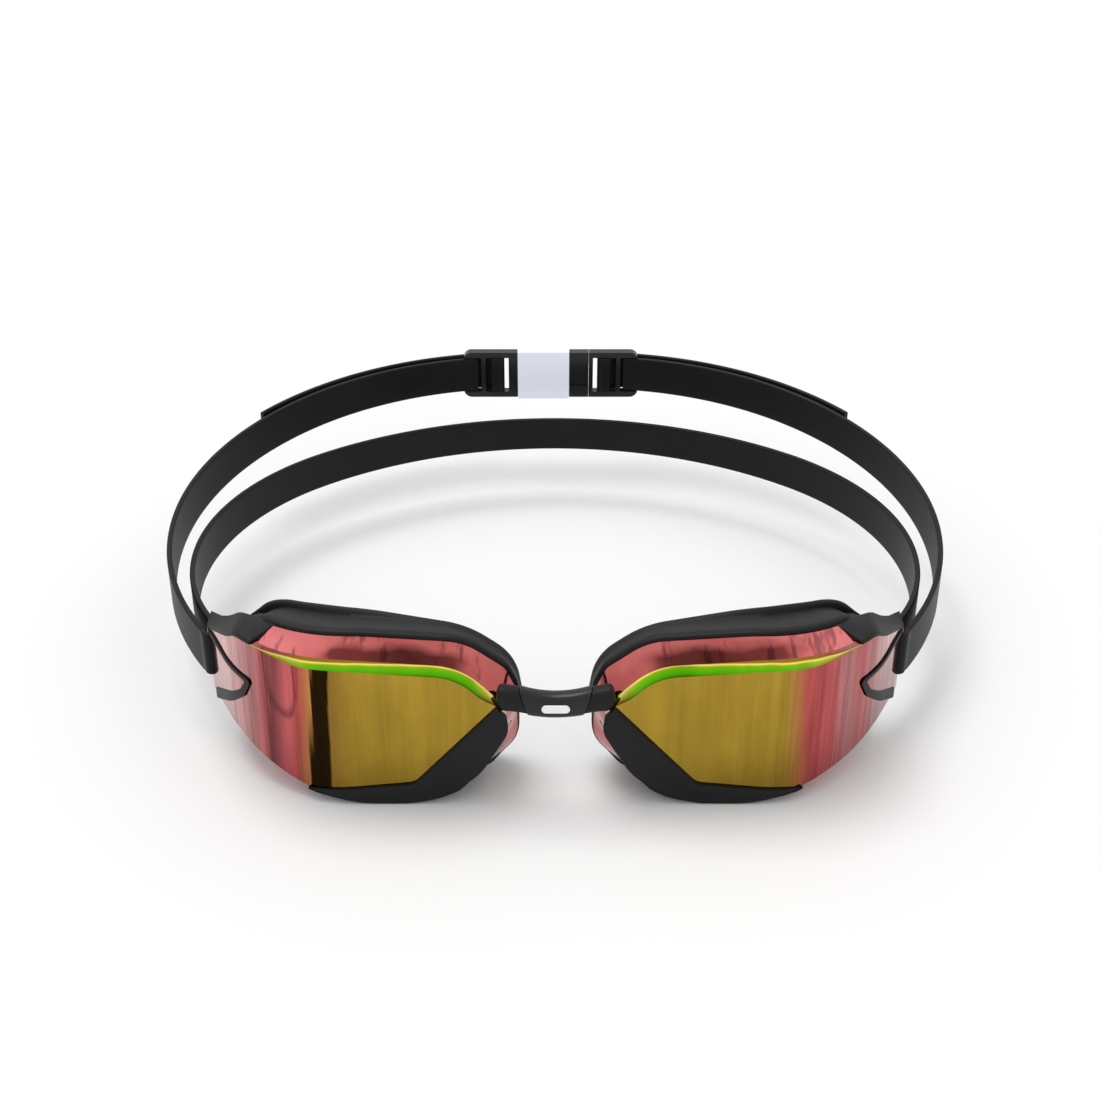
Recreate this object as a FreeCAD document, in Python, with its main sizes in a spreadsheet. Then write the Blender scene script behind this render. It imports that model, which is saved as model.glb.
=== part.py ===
import FreeCAD, Part
import math
import os
from FreeCAD import Placement, Rotation, Vector

# Swim goggles lying on a table, in millimetres. +Z is up, +Y points from the lenses to the rear clip and +X to the
# right in the view from the front. The origin is on the table, at the middle of the whole object's width and depth.
# Features are drawn with the lenses' front face at y = 0 and moved back by front_y when they are placed.

doc = FreeCAD.newDocument("swim_goggles")
sheet = doc.addObject("Spreadsheet::Sheet", "Dim")

# ------------------------------------------------------------ driving dimensions
DIMENSIONS = {
    # whole object
    "front_y": -89.6,           # y of the lenses' front face
    "tall": 60.0,               # height of cutting regions, above everything
    "margin": 5.0,              # how far cutting shapes pass the faces they cut
    "reach": 40.0,              # length of cutting shapes past the temple arm
    "joint_gap": 0.1,           # gap or overlap between neighbouring clip features
    # plan curve of the lens front: flat, then an arc, then a straight temple arm
    "plan_flat": 46.0,
    "plan_radius": 36.0,
    "plan_sweep": 63.5,
    "plan_straight": 70.0,
    # lens shell
    "lens_depth": 10.3,
    "lens_front_wall": 2.0,
    "lens_side_wall": 1.6,
    "lens_bevel": 1.8,
    "bevel_above": 27.2,        # the bevel runs along the edges above this height
    "bevel_inside": 72.0,       # and nearer the nose than this
    "arm_wall": 2.0,
    "arm_length": 15.0,
    "slot_start": 9.6,
    "slot_end": 11.9,
    "slot_height": 13.4,
    "seam": 0.05,               # gap between moulded pieces that touch
    # frame overmould
    "frame_proud": 1.2,
    "frame_depth": 2.5,
    "skirt_out": 1.3,
    "skirt_front": 1.0,
    "skirt_top": 8.0,
    "skirt_inner": 15.0,
    "skirt_outer": 57.0,
    "rail_depth": 7.5,
    "web_inset": 2.1,
    "nose_web_drop": 1.0,
    "nose_web_height": 3.0,
    "temple_web_x": 70.0,
    "temple_web_z": 22.0,
    "temple_web_length": 15.0,
    "temple_web_height": 20.0,
    "trim_proud": 0.45,
    # bridge socket block on the frame
    "block_left": 9.0,
    "block_width": 5.2,
    "block_low": 25.8,
    "block_height": 6.4,
    "block_front": 0.4,
    "block_depth": 5.0,
    "pocket_depth": 2.8,
    "pocket_clear": 0.06,
    # face gasket
    "gasket_out": 0.6,
    "gasket_in": -2.0,
    "rim_thick": 2.6,
    "rim_width": 4.5,
    # nose bridge, curved about a point above it
    "bridge_centre_z": 52.5,
    "shell_inner": 22.5,
    "shell_outer": 27.9,
    "shell_half_top": 8.3,
    "shell_half_low": 6.3,
    "shell_front": -1.0,
    "shell_thick": 4.4,
    "core_inner": 23.7,
    "core_outer": 26.6,
    "core_front": 0.3,
    "core_thick": 2.4,
    "core_half": 10.8,
    "core_overlap": 0.5,        # bar into plug
    "slant_low": 23.0,          # heights where the shell's slanted ends have their two half-widths
    "slant_high": 33.0,
    "plug_outer": 12.4,
    "plug_low": 27.2,
    "plug_height": 4.6,
    "badge_length": 6.4,
    "badge_height": 2.0,
    "badge_thick": 0.3,
    "badge_z": 27.3,
    # strap
    "strap_thick": 1.4,
    "anchor_y": 34.0,
    "anchor_z": 20.0,
    "anchor_width": 12.4,
    "fold_clear": 0.15,
    "fold_start": 10.2,
    "fold_end": 16.8,
    "lower_back_y": 155.8,
    "lower_back_width": 10.1,
    "upper_back_y": 177.2,
    "upper_back_z": 30.7,
    "upper_back_width": 11.0,
    "upper_centre_x": 12.0,
    "upper_centre_y": 88.3,
    "upper_radius": 89.5,
    "tail_thick": 1.3,
    "tail_radius": 92.4,
    "tail_first": 7.1,
    "tail_last": 54.9,
    "tail_clear": 0.12,         # between the strap's turn and the bar in it
    "tail_inset": 0.1,
    "ramp_overlap": 1.0,        # of the ramp with the turn
    "ramp_end": 0.4,            # of the ramp with the free end
    "ramp_drop": 0.05,
    "side_length": 300.0,       # of the plate that trims the strap's top and bottom
    "side_past": 12.0,
    # rear clip, measured from its own middle plane and middle height
    "clip_y": 177.5,
    "clip_z": 30.7,
    "lock_thick": 3.0,
    "lock_height": 15.2,
    "lock_length": 15.6,
    "lock_corner": 2.6,
    "lock_wall": 1.3,
    "window_length": 11.7,
    "window_height": 11.6,
    "main_bar_x": 4.6,
    "main_bar_width": 2.0,
    "main_bar_thick": 1.3,
    "main_bar_ahead": 0.2,      # of the clip's middle plane
    "bar_root": 0.5,            # bars run into the lock's frame by this much
    "cross_bar_x": 8.6,
    "cross_bar_width": 1.4,
    "cross_bar_thick": 1.6,
    "end_rail_front": 0.25,
    "end_rail_back": 0.95,
    "right_lock_x": 11.0,
    "left_lock_x": 13.1,
    "sleeve_left": -11.5,
    "sleeve_right": 4.75,
    "sleeve_thick": 3.9,
    "sleeve_height": 15.9,
    "sleeve_wall": 0.55,
    "sleeve_fit": 0.02,         # between the sleeve and the core in it
    "sleeve_fit_z": 0.03,
    "socket_left": -14.0,
    "socket_right": 10.9,
    "channel_left": -8.0,
    "channel_height": 7.7,
    "channel_front": -0.9,
    "channel_thick": 1.95,
    "tongue_left": -7.0,
    "tongue_right": 10.9,
    "tongue_height": 7.4,
    "tongue_thick": 1.0,
    "tongue_front": -0.85,
    "barb_left": -6.5,
    "barb_length": 2.0,
    "barb_height": 3.4,
    "barb_proud": 0.35,
    "barb_root": 0.2,
    "groove_ahead": 0.3,
    "groove_deep": 1.0,
    "groove_clear": 0.1,
}

# Outlines in the front view: point name, x, z and corner radius, for the right-hand pod.
OUTLINES = {
    "cup": [
        ("nose_tip", 13.0, 28.0, 3.0), ("shoulder", 21.8, 36.6, 14.0), ("brow", 48.0, 38.7, 60.0),
        ("temple_top", 72.0, 38.3, 7.0), ("side_top", 77.5, 31.5, 4.0), ("side_low", 77.5, 15.0, 4.0),
        ("temple_low", 74.0, 9.6, 5.0), ("belly", 57.0, 2.7, 14.0), ("rest_outer", 43.0, 1.3, 20.0),
        ("rest_inner", 33.0, 1.3, 14.0), ("nose_low", 24.7, 2.4, 10.0), ("nose_slope", 17.9, 8.3, 14.0),
        ("nose_side", 10.9, 20.2, 5.0), ("nose_high", 11.3, 24.6, 2.5),
    ],
    "rim": [
        ("nose_tip", 10.6, 29.3, 4.0), ("shoulder", 20.5, 35.8, 8.0), ("brow", 44.0, 38.7, 50.0),
        ("temple_top", 66.0, 37.0, 12.0), ("side_top", 76.5, 24.0, 8.0), ("side_low", 76.0, 15.5, 6.0),
        ("belly", 58.0, 3.0, 12.0), ("rest_outer", 44.0, 1.0, 8.0), ("rest_inner", 32.0, 0.8, 9.0),
        ("nose_low", 13.5, 5.5, 6.0), ("nose_side", 7.6, 17.0, 7.0),
    ],
    "arm": [
        ("inner_top", 70.0, 36.5, 0.0), ("front_top", 74.8, 37.6, 1.5), ("end_top", 86.0, 26.2, 0.5),
        ("end_low", 86.0, 9.2, 1.0), ("belly", 77.0, 10.5, 4.0), ("inner_low", 70.0, 8.6, 0.0),
    ],
    "rail": [
        ("low_front", 73.0, 37.25, 0.0), ("low_knee", 74.8, 37.7, 1.5), ("low_end", 86.5, 25.8, 0.0),
        ("high_end", 86.5, 27.8, 0.0), ("high_knee", 75.2, 39.0, 2.0), ("high_front", 69.5, 39.3, 0.0),
        ("inner_front", 69.5, 38.3, 0.0),
    ],
    "chin": [
        ("tip", 13.6, 26.6, 0.4), ("inner_corner", 32.8, 5.6, 2.0), ("inner_end", 56.0, 3.5, 0.2),
        ("outer_end", 56.0, 2.0, 0.2), ("rest_outer", 42.0, 0.0, 16.0), ("rest_inner", 33.0, 0.0, 12.0),
        ("low", 24.4, 1.9, 10.0), ("slope", 17.5, 8.0, 14.0), ("side", 10.7, 20.2, 5.0),
        ("high", 11.3, 24.4, 2.0),
    ],
    "trim": [
        ("start_out", 83.6, 28.4, 0.0), ("corner_out", 70.4, 27.9, 1.0), ("low_out", 72.8, 22.2, 1.0),
        ("end_out", 83.6, 8.9, 0.2), ("end_in", 83.6, 11.6, 0.2), ("low_in", 73.9, 23.1, 0.8),
        ("corner_in", 72.0, 27.0, 0.6), ("start_in", 83.6, 27.4, 0.0),
    ],
}

# Plan curve of the gasket's rear rim: point name, x, y and corner radius.
RIM_PLAN = [
    ("nose", 0.0, 18.0, 0.0), ("mid", 46.0, 24.0, 60.0), ("temple", 68.0, 31.0, 40.0),
    ("side", 90.0, 52.0, 0.0),
]

# The strap loops as chains of tangent arcs: radius and sweep, from the back to the anchor.
LOWER_ARCS = [("back", 107.9, 40.0), ("side", 72.3, 59.9), ("front", 65.2, 25.3)]
UPPER_ARCS = [("side", 93.0, 53.9), ("front", 86.8, 27.7)]
UPPER_BACK_FIRST = 6.4
UPPER_BACK_LAST = 43.7


def alias(*words):
    return "_".join(words)


def fill_sheet():
    cells = dict(DIMENSIONS)
    for outline, points in OUTLINES.items():
        for point, x, z, radius in points:
            cells[alias(outline, point, "x")] = x
            cells[alias(outline, point, "z")] = z
            cells[alias(outline, point, "rad")] = radius
    for point, x, y, radius in RIM_PLAN:
        cells[alias("rimplan", point, "x")] = x
        cells[alias("rimplan", point, "y")] = y
        cells[alias("rimplan", point, "rad")] = radius
    for loop, arcs in (("lower", LOWER_ARCS), ("upper", UPPER_ARCS)):
        for arc, radius, sweep in arcs:
            cells[alias(loop, arc, "arcrad")] = radius
            cells[alias(loop, arc, "sweep")] = sweep
    cells["upper_first"] = UPPER_BACK_FIRST
    cells["upper_last"] = UPPER_BACK_LAST
    for row, (name, value) in enumerate(cells.items(), start=1):
        sheet.set("A%d" % row, name)
        sheet.set("B%d" % row, str(value))
        sheet.setAlias("B%d" % row, name)
    doc.recompute()


def dim(name):
    return float(sheet.get(name))


fill_sheet()


# ------------------------------------------------------------ drawing helpers
def rounded_wire(corners, lift):
    """Closed wire through corners (u, v, radius), each rounded by a tangent arc. lift maps (u, v) to 3-D."""
    count = len(corners)
    trimmed = []
    for index, (u, v, radius) in enumerate(corners):
        here = Vector(u, v, 0)
        before = Vector(corners[index - 1][0], corners[index - 1][1], 0) - here
        after = Vector(corners[(index + 1) % count][0], corners[(index + 1) % count][1], 0) - here
        half = before.getAngle(after) / 2
        if radius < 1e-6 or abs(half - math.pi / 2) < 1e-4:
            trimmed.append((here, None, here))
            continue
        run = radius / math.tan(half)
        if run > 0.98 * min(before.Length, after.Length):
            raise ValueError("corner radius %g too large at %g, %g" % (radius, u, v))
        bisector = (before.normalize() + after.normalize()).normalize()
        middle = here + bisector * (radius / math.sin(half) - radius)
        trimmed.append((here + before * run, middle, here + after * run))
    edges = []
    for index, (start, middle, end) in enumerate(trimmed):
        if middle is not None:
            edges.append(Part.Arc(lift(start), lift(middle), lift(end)).toShape())
        following = trimmed[(index + 1) % count][0]
        if (following - end).Length > 1e-6:
            edges.append(Part.LineSegment(lift(end), lift(following)).toShape())
    return Part.Wire(Part.__sortEdges__(edges))


def feature(name, shape):
    item = doc.addObject("Part::Feature", name)
    item.Shape = shape
    item.Placement = Placement(Vector(0, dim("front_y"), 0), Rotation())
    return item


def extrude(name, profile, direction, forward, backward="0"):
    item = doc.addObject("Part::Extrusion", name)
    item.Base = profile
    item.DirMode = "Custom"
    item.Dir = direction
    item.Solid = True
    item.setExpression("LengthFwd", forward)
    item.setExpression("LengthRev", backward)
    return item


def cut(name, base, tool):
    item = doc.addObject("Part::Cut", name)
    item.Base = base
    item.Tool = tool
    item.Refine = True
    return item


def common(name, *shapes):
    item = doc.addObject("Part::MultiCommon", name)
    item.Shapes = list(shapes)
    item.Refine = True
    return item


def fuse(name, *shapes):
    item = doc.addObject("Part::MultiFuse", name)
    item.Shapes = list(shapes)
    item.Refine = True
    return item


def mirror(name, source):
    item = doc.addObject("Part::Mirroring", name)
    item.Source = source
    item.Base = Vector(0, 0, 0)
    item.Normal = Vector(1, 0, 0)
    return item


def box(name, x, y, z, length, width, height):
    """Part::Box whose corner and sides are expressions of the sheet. y is measured from the front face."""
    item = doc.addObject("Part::Box", name)
    item.setExpression("Length", length)
    item.setExpression("Width", width)
    item.setExpression("Height", height)
    item.setExpression("Placement.Base.x", x)
    item.setExpression("Placement.Base.y", "Dim.front_y + " + y)
    item.setExpression("Placement.Base.z", z)
    return item


# ------------------------------------------------------------ pod building tools
def front_lift(point):
    return Vector(point.x, -4 * dim("margin"), point.y)


def outline(name):
    corners = [
        (dim(alias(name, point, "x")), dim(alias(name, point, "z")), dim(alias(name, point, "rad")))
        for point, _, _, _ in OUTLINES[name]
    ]
    return feature(name + "_outline", rounded_wire(corners, front_lift))


def prism(name, source, offset=None):
    """Outline grown by an offset and drawn back through the whole pod."""
    profile = source
    if offset is not None:
        profile = doc.addObject("Part::Offset2D", name + "_offset")
        profile.Source = source
        profile.Join = "Arc"
        profile.setExpression("Value", offset)
    return extrude(name, profile, Vector(0, 1, 0), "2 * Dim.tall")


def plan_region(name, inset, shift):
    """Everything behind the lens front curve, moved in by inset and back by shift."""
    sweep = math.radians(dim("plan_sweep"))
    flat = dim("plan_flat")
    centre_y = dim("plan_radius") + shift
    radius = dim("plan_radius") - inset
    low = -dim("margin")
    left = -2 * dim("margin")

    def on_arc(angle):
        return Vector(flat + radius * math.sin(angle), centre_y - radius * math.cos(angle), low)

    near = Vector(left, centre_y - radius, low)
    start = on_arc(0)
    end = on_arc(sweep)
    far = end + Vector(math.cos(sweep), math.sin(sweep), 0) * dim("plan_straight")
    corner = Vector(left, far.y, low)
    edges = [
        Part.LineSegment(near, start).toShape(),
        Part.Arc(start, on_arc(sweep / 2), end).toShape(),
        Part.LineSegment(end, far).toShape(),
        Part.LineSegment(far, corner).toShape(),
        Part.LineSegment(corner, near).toShape(),
    ]
    base = feature(name + "_plan", Part.Wire(edges))
    return extrude(name, base, Vector(0, 0, 1), "Dim.tall")


def rim_region(name, shift):
    """Everything behind the gasket rim's plan curve, moved back by shift."""
    corners = [
        (dim(alias("rimplan", point, "x")), dim(alias("rimplan", point, "y")) + shift,
         dim(alias("rimplan", point, "rad")))
        for point, _, _, _ in RIM_PLAN
    ]
    far = corners[-1][1] + 2 * dim("tall")
    corners += [(corners[-1][0], far, 0), (corners[0][0], far, 0)]
    wire = rounded_wire(corners, lambda point: Vector(point.x, point.y, -dim("margin")))
    return extrude(name, feature(name + "_plan", wire), Vector(0, 0, 1), "Dim.tall")


def wall_point(along, out):
    """Plan point at a distance along the temple arm's outer face, and out from it."""
    sweep = math.radians(dim("plan_sweep"))
    radius = dim("plan_radius")
    foot = Vector(dim("plan_flat") + radius * math.sin(sweep), radius - radius * math.cos(sweep), 0)
    forward = Vector(math.cos(sweep), math.sin(sweep), 0)
    outward = Vector(math.sin(sweep), -math.cos(sweep), 0)
    return foot + forward * along + outward * out


def arm_prism(name, corners, low, height):
    """Upright prism over plan corners given along and out from the temple arm's face."""
    points = [wall_point(along, out) for along, out in corners]
    wire = Part.makePolygon([Vector(p.x, p.y, low) for p in points + points[:1]])
    return extrude(name, feature(name + "_plan", wire), Vector(0, 0, 1), height)


def past_arm_end(name):
    """Everything beyond the end of the temple arm."""
    first = dim("arm_length")
    last = dim("reach")
    out = dim("margin")
    corners = [(first, out), (last, out), (last, -last), (first, -last)]
    return arm_prism(name, corners, -dim("margin"), "Dim.tall + Dim.margin")


# ------------------------------------------------------------ pod
OUT = {name: outline(name) for name in OUTLINES}
front = plan_region("front_region", 0, 0)
behind_lens = plan_region("behind_lens", 0, dim("lens_depth"))
behind_seam = plan_region("behind_seam", 0, dim("lens_depth") + dim("seam"))
behind_frame = plan_region("behind_frame", 0, dim("lens_depth") + dim("frame_depth"))
gasket_start = plan_region("gasket_start", 0, dim("lens_depth") + dim("frame_depth") + dim("seam"))
cup_prism = prism("cup_prism", OUT["cup"])
cup_clear = prism("cup_clear", OUT["cup"], "Dim.seam")
cup_inner = prism("cup_inner", OUT["cup"], "-Dim.lens_side_wall")
cup_frame = prism("cup_frame", OUT["cup"], "Dim.frame_proud")


def make_lens():
    """Shell with a bevelled top edge, and a temple arm with the strap slot and its end bar."""
    slab = cut("lens_slab", front, behind_lens)
    block = common("lens_block", cup_prism, slab)
    doc.recompute()
    bevel = doc.addObject("Part::Chamfer", "lens_bevelled")
    bevel.Base = block
    size = dim("lens_bevel")
    bevel.Edges = [(index, size, size) for index in top_front_edges(block.Shape)]
    cavity = common("lens_cavity", cup_inner, plan_region("cavity_region", dim("lens_front_wall"), 0))
    shell = cut("lens_shell", bevel, cavity)
    arm_slab = cut("arm_slab", front, plan_region("arm_inner", dim("arm_wall"), 0))
    arm_plate = common("arm_plate", prism("arm_prism", OUT["arm"]), arm_slab)
    out = dim("margin")
    slot_corners = [(dim("slot_start"), out), (dim("slot_end"), out), (dim("slot_end"), -out),
                    (dim("slot_start"), -out)]
    slot = arm_prism("strap_slot", slot_corners, dim("anchor_z") - dim("slot_height") / 2, "Dim.slot_height")
    arm = cut("arm_slotted", cut("arm_trimmed", arm_plate, past_arm_end("past_end")), slot)
    behind_side = common("arm_cavity", cup_inner, plan_region("arm_cavity_region", dim("lens_front_wall"), 0))
    return fuse("right_lens", shell, cut("arm_clear", arm, behind_side))


def top_front_edges(shape):
    """Edges between the front face and the top and nose sides of the lens block."""
    chosen = []
    for index, edge in enumerate(shape.Edges, start=1):
        middle = edge.valueAt((edge.FirstParameter + edge.LastParameter) / 2)
        x = middle.x
        y = middle.y - dim("front_y")
        over = max(0.0, x - dim("plan_flat"))
        surface = dim("plan_radius") - math.sqrt(max(dim("plan_radius") ** 2 - over ** 2, 0))
        upright = abs(edge.valueAt(edge.FirstParameter).z - edge.valueAt(edge.LastParameter).z)
        on_front = abs(y - surface) < dim("seam") and upright < dim("margin") * 4
        if on_front and middle.z > dim("bevel_above") and x < dim("bevel_inside"):
            chosen.append(index)
    return chosen


def make_frame():
    """Ring behind the lens with a chin skirt, a rail over the temple arm, the bridge socket block and two webs."""
    ring_slab = cut("ring_slab", behind_seam, behind_frame)
    ring = common("frame_ring", cup_frame, ring_slab)
    skirt_slab = cut("skirt_slab", plan_region("skirt_front_region", -dim("skirt_front"), 0), behind_frame)
    skirt_box = box("skirt_box", "Dim.skirt_inner", "-Dim.margin", "-Dim.margin",
                    "Dim.skirt_outer - Dim.skirt_inner", "Dim.reach", "Dim.skirt_top + Dim.margin")
    skirt_shell = cut("skirt_shell", prism("skirt_prism", OUT["cup"], "Dim.skirt_out"), cup_clear)
    skirt = common("frame_skirt", skirt_shell, skirt_slab, skirt_box)
    chin_slab = cut("chin_slab", plan_region("chin_front_region", -dim("skirt_front"), 0),
                    plan_region("chin_back_region", -dim("seam"), 0))
    chin = common("frame_chin", prism("chin_prism", OUT["chin"]), chin_slab)
    rail_slab = cut("rail_slab", front, plan_region("rail_back_region", 0, dim("rail_depth")))
    rail_plate = common("rail_plate", prism("rail_prism", OUT["rail"]), rail_slab)
    rail = cut("frame_rail", rail_plate, past_arm_end("rail_end"))
    block = box("socket_block", "Dim.block_left", "Dim.block_front", "Dim.block_low", "Dim.block_width",
                "Dim.block_depth", "Dim.block_height")
    nose_box = box("nose_web_box", "Dim.block_left", "Dim.block_front", "Dim.block_low - Dim.nose_web_drop",
                   "Dim.block_width", "Dim.reach", "Dim.nose_web_height")
    nose_web = common("nose_web", skirt_shell, nose_box, cut("web_slab", front, behind_frame))
    temple_box = box("temple_web_box", "Dim.temple_web_x", "0", "Dim.temple_web_z", "Dim.temple_web_length",
                     "Dim.tall", "Dim.temple_web_height")
    temple_slab = cut("temple_web_slab", plan_region("temple_web_front", dim("web_inset"), 0), behind_frame)
    temple_web = common("temple_web", skirt_shell, temple_box, temple_slab)
    whole = fuse("frame_whole", ring, skirt, chin, rail, block, nose_web, temple_web)
    return cut("right_frame", whole, fuse("frame_cuts", cup_cavity(), plug_pocket()))


def cup_cavity():
    """Room for the lens in front of the seam, and the eye space behind it."""
    lens_room = common("lens_room", cup_clear, cut("room_slab", plan_region("room_front", -dim("seam"), 0),
                                                   behind_seam))
    return fuse("cup_cavity", lens_room, common("eye_space", cup_inner, front))


def plug_pocket():
    """Pocket for one end of the bridge core, open to the front and to the nose."""
    clear = "Dim.pocket_clear"
    head = box("pocket_head", "Dim.core_half - " + clear, "-Dim.margin", "Dim.plug_low - " + clear,
               "Dim.plug_outer - Dim.core_half + 2 * " + clear,
               "Dim.pocket_depth + Dim.margin", "Dim.plug_height + 2 * " + clear)
    neck = bridge_arc("pocket_neck", dim("core_inner") - dim("pocket_clear"),
                      dim("core_outer") + dim("pocket_clear"), dim("core_half"), -dim("margin"),
                      dim("pocket_depth") + dim("margin"))
    return fuse("plug_pocket", head, neck)


def bridge_arc(name, inner, outer, half, front_at, thick):
    """Curved bar about the bridge centre, cut square at half its width each side."""
    centre = dim("bridge_centre_z")

    def at(radius, x):
        return Vector(x, 0, centre - math.sqrt(radius ** 2 - x ** 2))

    edges = [
        Part.Arc(at(outer, -half), at(outer, 0), at(outer, half)).toShape(),
        Part.LineSegment(at(outer, half), at(inner, half)).toShape(),
        Part.Arc(at(inner, half), at(inner, 0), at(inner, -half)).toShape(),
        Part.LineSegment(at(inner, -half), at(outer, -half)).toShape(),
    ]
    face = Part.Face(Part.Wire(edges))
    face.translate(Vector(0, front_at, 0))
    return feature(name, face.extrude(Vector(0, thick, 0)))


def make_gasket():
    """Wall behind the frame that ends in a wider rim against the face."""
    outer = prism("gasket_outer", OUT["cup"], "Dim.gasket_out")
    inner = prism("gasket_inner", OUT["cup"], "Dim.gasket_in")
    wall_slab = cut("gasket_slab", gasket_start, rim_region("rim_start", 0))
    wall = common("gasket_wall", cut("gasket_tube", outer, inner), wall_slab)
    rim_slab = cut("rim_slab", rim_region("rim_front", -dim("rim_thick")), rim_region("rim_back", 0))
    rim_outer = prism("rim_outer", OUT["rim"])
    rim_inner = prism("rim_inner", OUT["rim"], "-Dim.rim_width")
    rim = common("gasket_rim", cut("rim_tube", rim_outer, rim_inner), rim_slab, gasket_start)
    return fuse("right_gasket", wall, rim)


def make_trim():
    """V-shaped inlay standing proud of the temple arm."""
    slab = cut("trim_slab", plan_region("trim_front", -dim("trim_proud"), 0),
               plan_region("trim_back", -dim("seam"), 0))
    return common("right_temple_trim", prism("trim_prism", OUT["trim"]), slab)


def make_fold():
    """The strap's turn round the end bar of the temple arm."""
    clear = dim("fold_clear")
    thick = dim("strap_thick")
    near = -dim("arm_wall") - clear
    first = dim("fold_start")
    last = dim("fold_end")
    corners = [
        (last, clear), (last, clear + thick), (first, clear + thick), (first, near - thick),
        (last, near - thick), (last, near), (first + thick, near), (first + thick, clear),
    ]
    low = dim("anchor_z") - dim("anchor_width") / 2
    return arm_prism("right_strap_fold", corners, low, "Dim.anchor_width")


# ------------------------------------------------------------ nose bridge
def make_bridge():
    core_bar = bridge_arc("core_bar", dim("core_inner"), dim("core_outer"), dim("core_half") + dim("core_overlap"),
                          dim("core_front"), dim("core_thick"))
    plug = box("right_plug", "Dim.core_half", "Dim.core_front", "Dim.plug_low", "Dim.plug_outer - Dim.core_half",
               "Dim.core_thick", "Dim.plug_height")
    core = fuse("bridge_core", core_bar, plug, mirror("left_plug", plug))
    shell_bar = bridge_arc("shell_bar", dim("shell_inner"), dim("shell_outer"), dim("shell_half_top"),
                           dim("shell_front"), dim("shell_thick"))
    tunnel = bridge_arc("shell_tunnel", dim("core_inner") - dim("pocket_clear"),
                        dim("core_outer") + dim("pocket_clear"), dim("core_half"),
                        dim("core_front") - dim("pocket_clear"), dim("core_thick") + 2 * dim("pocket_clear"))
    low = dim("shell_half_low")
    high = dim("shell_half_top")
    corners = [(-low, "slant_low"), (low, "slant_low"), (high, "slant_high"), (-high, "slant_high"),
               (-low, "slant_low")]
    slant = Part.makePolygon([Vector(x, -dim("margin"), dim(height)) for x, height in corners])
    slant_prism = extrude("shell_slant", feature("shell_slant_outline", slant), Vector(0, 1, 0), "4 * Dim.margin")
    shell = cut("bridge_shell", common("shell_block", shell_bar, slant_prism), tunnel)
    badge = pill("bridge_badge")
    return core, shell, badge


def pill(name):
    """Plain raised pill on the front of the bridge shell."""
    half = dim("badge_length") / 2
    radius = dim("badge_height") / 2
    z = dim("badge_z")
    y = dim("shell_front")
    run = half - radius
    edges = [
        Part.LineSegment(Vector(-run, y, z - radius), Vector(run, y, z - radius)).toShape(),
        Part.Arc(Vector(run, y, z - radius), Vector(half, y, z), Vector(run, y, z + radius)).toShape(),
        Part.LineSegment(Vector(run, y, z + radius), Vector(-run, y, z + radius)).toShape(),
        Part.Arc(Vector(-run, y, z + radius), Vector(-half, y, z), Vector(-run, y, z - radius)).toShape(),
    ]
    outline_item = feature(name + "_outline", Part.Wire(edges))
    return extrude(name, outline_item, Vector(0, -1, 0), "Dim.badge_thick")


# ------------------------------------------------------------ strap
def arc_chain(start, heading, arcs, offset):
    """Edges of a chain of right-turning tangent arcs, grown outward by offset."""
    edges = []
    point = start
    angle = heading
    for radius, sweep in arcs:
        centre = point + Vector(math.sin(angle), -math.cos(angle), 0) * radius

        def on(turn, grown=radius + offset, middle=centre, first=angle):
            return middle - Vector(math.sin(first - turn), -math.cos(first - turn), 0) * grown

        edges.append(Part.Arc(on(0), on(sweep / 2), on(sweep)))
        point = centre - Vector(math.sin(angle - sweep), -math.cos(angle - sweep), 0) * radius
        angle -= sweep
    return edges


def band_face(start, heading, arcs, thick):
    """Plan face of a strap that follows a chain of arcs."""
    outer = arc_chain(start, heading, arcs, thick / 2)
    inner = arc_chain(start, heading, arcs, -thick / 2)
    ends = [
        Part.LineSegment(outer[-1].EndPoint, inner[-1].EndPoint),
        Part.LineSegment(inner[0].StartPoint, outer[0].StartPoint),
    ]
    edges = [curve.toShape() for curve in outer + inner + ends]
    return Part.Face(Part.Wire(Part.__sortEdges__(edges)))


def side_profile(name, near, far):
    """Tall plate whose top and bottom follow the strap's edges. near and far are y, middle height and width."""
    length = dim("side_length")
    past = dim("side_past")

    def edge(sign):
        slope = ((far[1] - near[1]) + sign * (far[2] - near[2]) / 2) / (far[0] - near[0])
        at_near = near[1] + sign * near[2] / 2
        return [Vector(-length / 2, y, at_near + slope * (y - near[0])) for y in (near[0] - past, far[0] + past)]

    low = edge(-1)
    high = edge(1)
    return feature(name, Part.Face(Part.makePolygon(low + high[::-1] + low[:1])).extrude(Vector(length, 0, 0)))


def loop_arcs(loop, names):
    return [(dim(alias(loop, name, "arcrad")), math.radians(dim(alias(loop, name, "sweep")))) for name in names]


def band(name, face, side):
    face.translate(Vector(0, 0, -dim("margin")))
    upright = extrude(name + "_upright", feature(name + "_plan", face), Vector(0, 0, 1), "Dim.tall + Dim.margin")
    return common(name, upright, side)


def upper_start(angle, radius):
    return Vector(dim("upper_centre_x") + radius * math.sin(angle), dim("upper_centre_y") + radius * math.cos(angle), 0)


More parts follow.
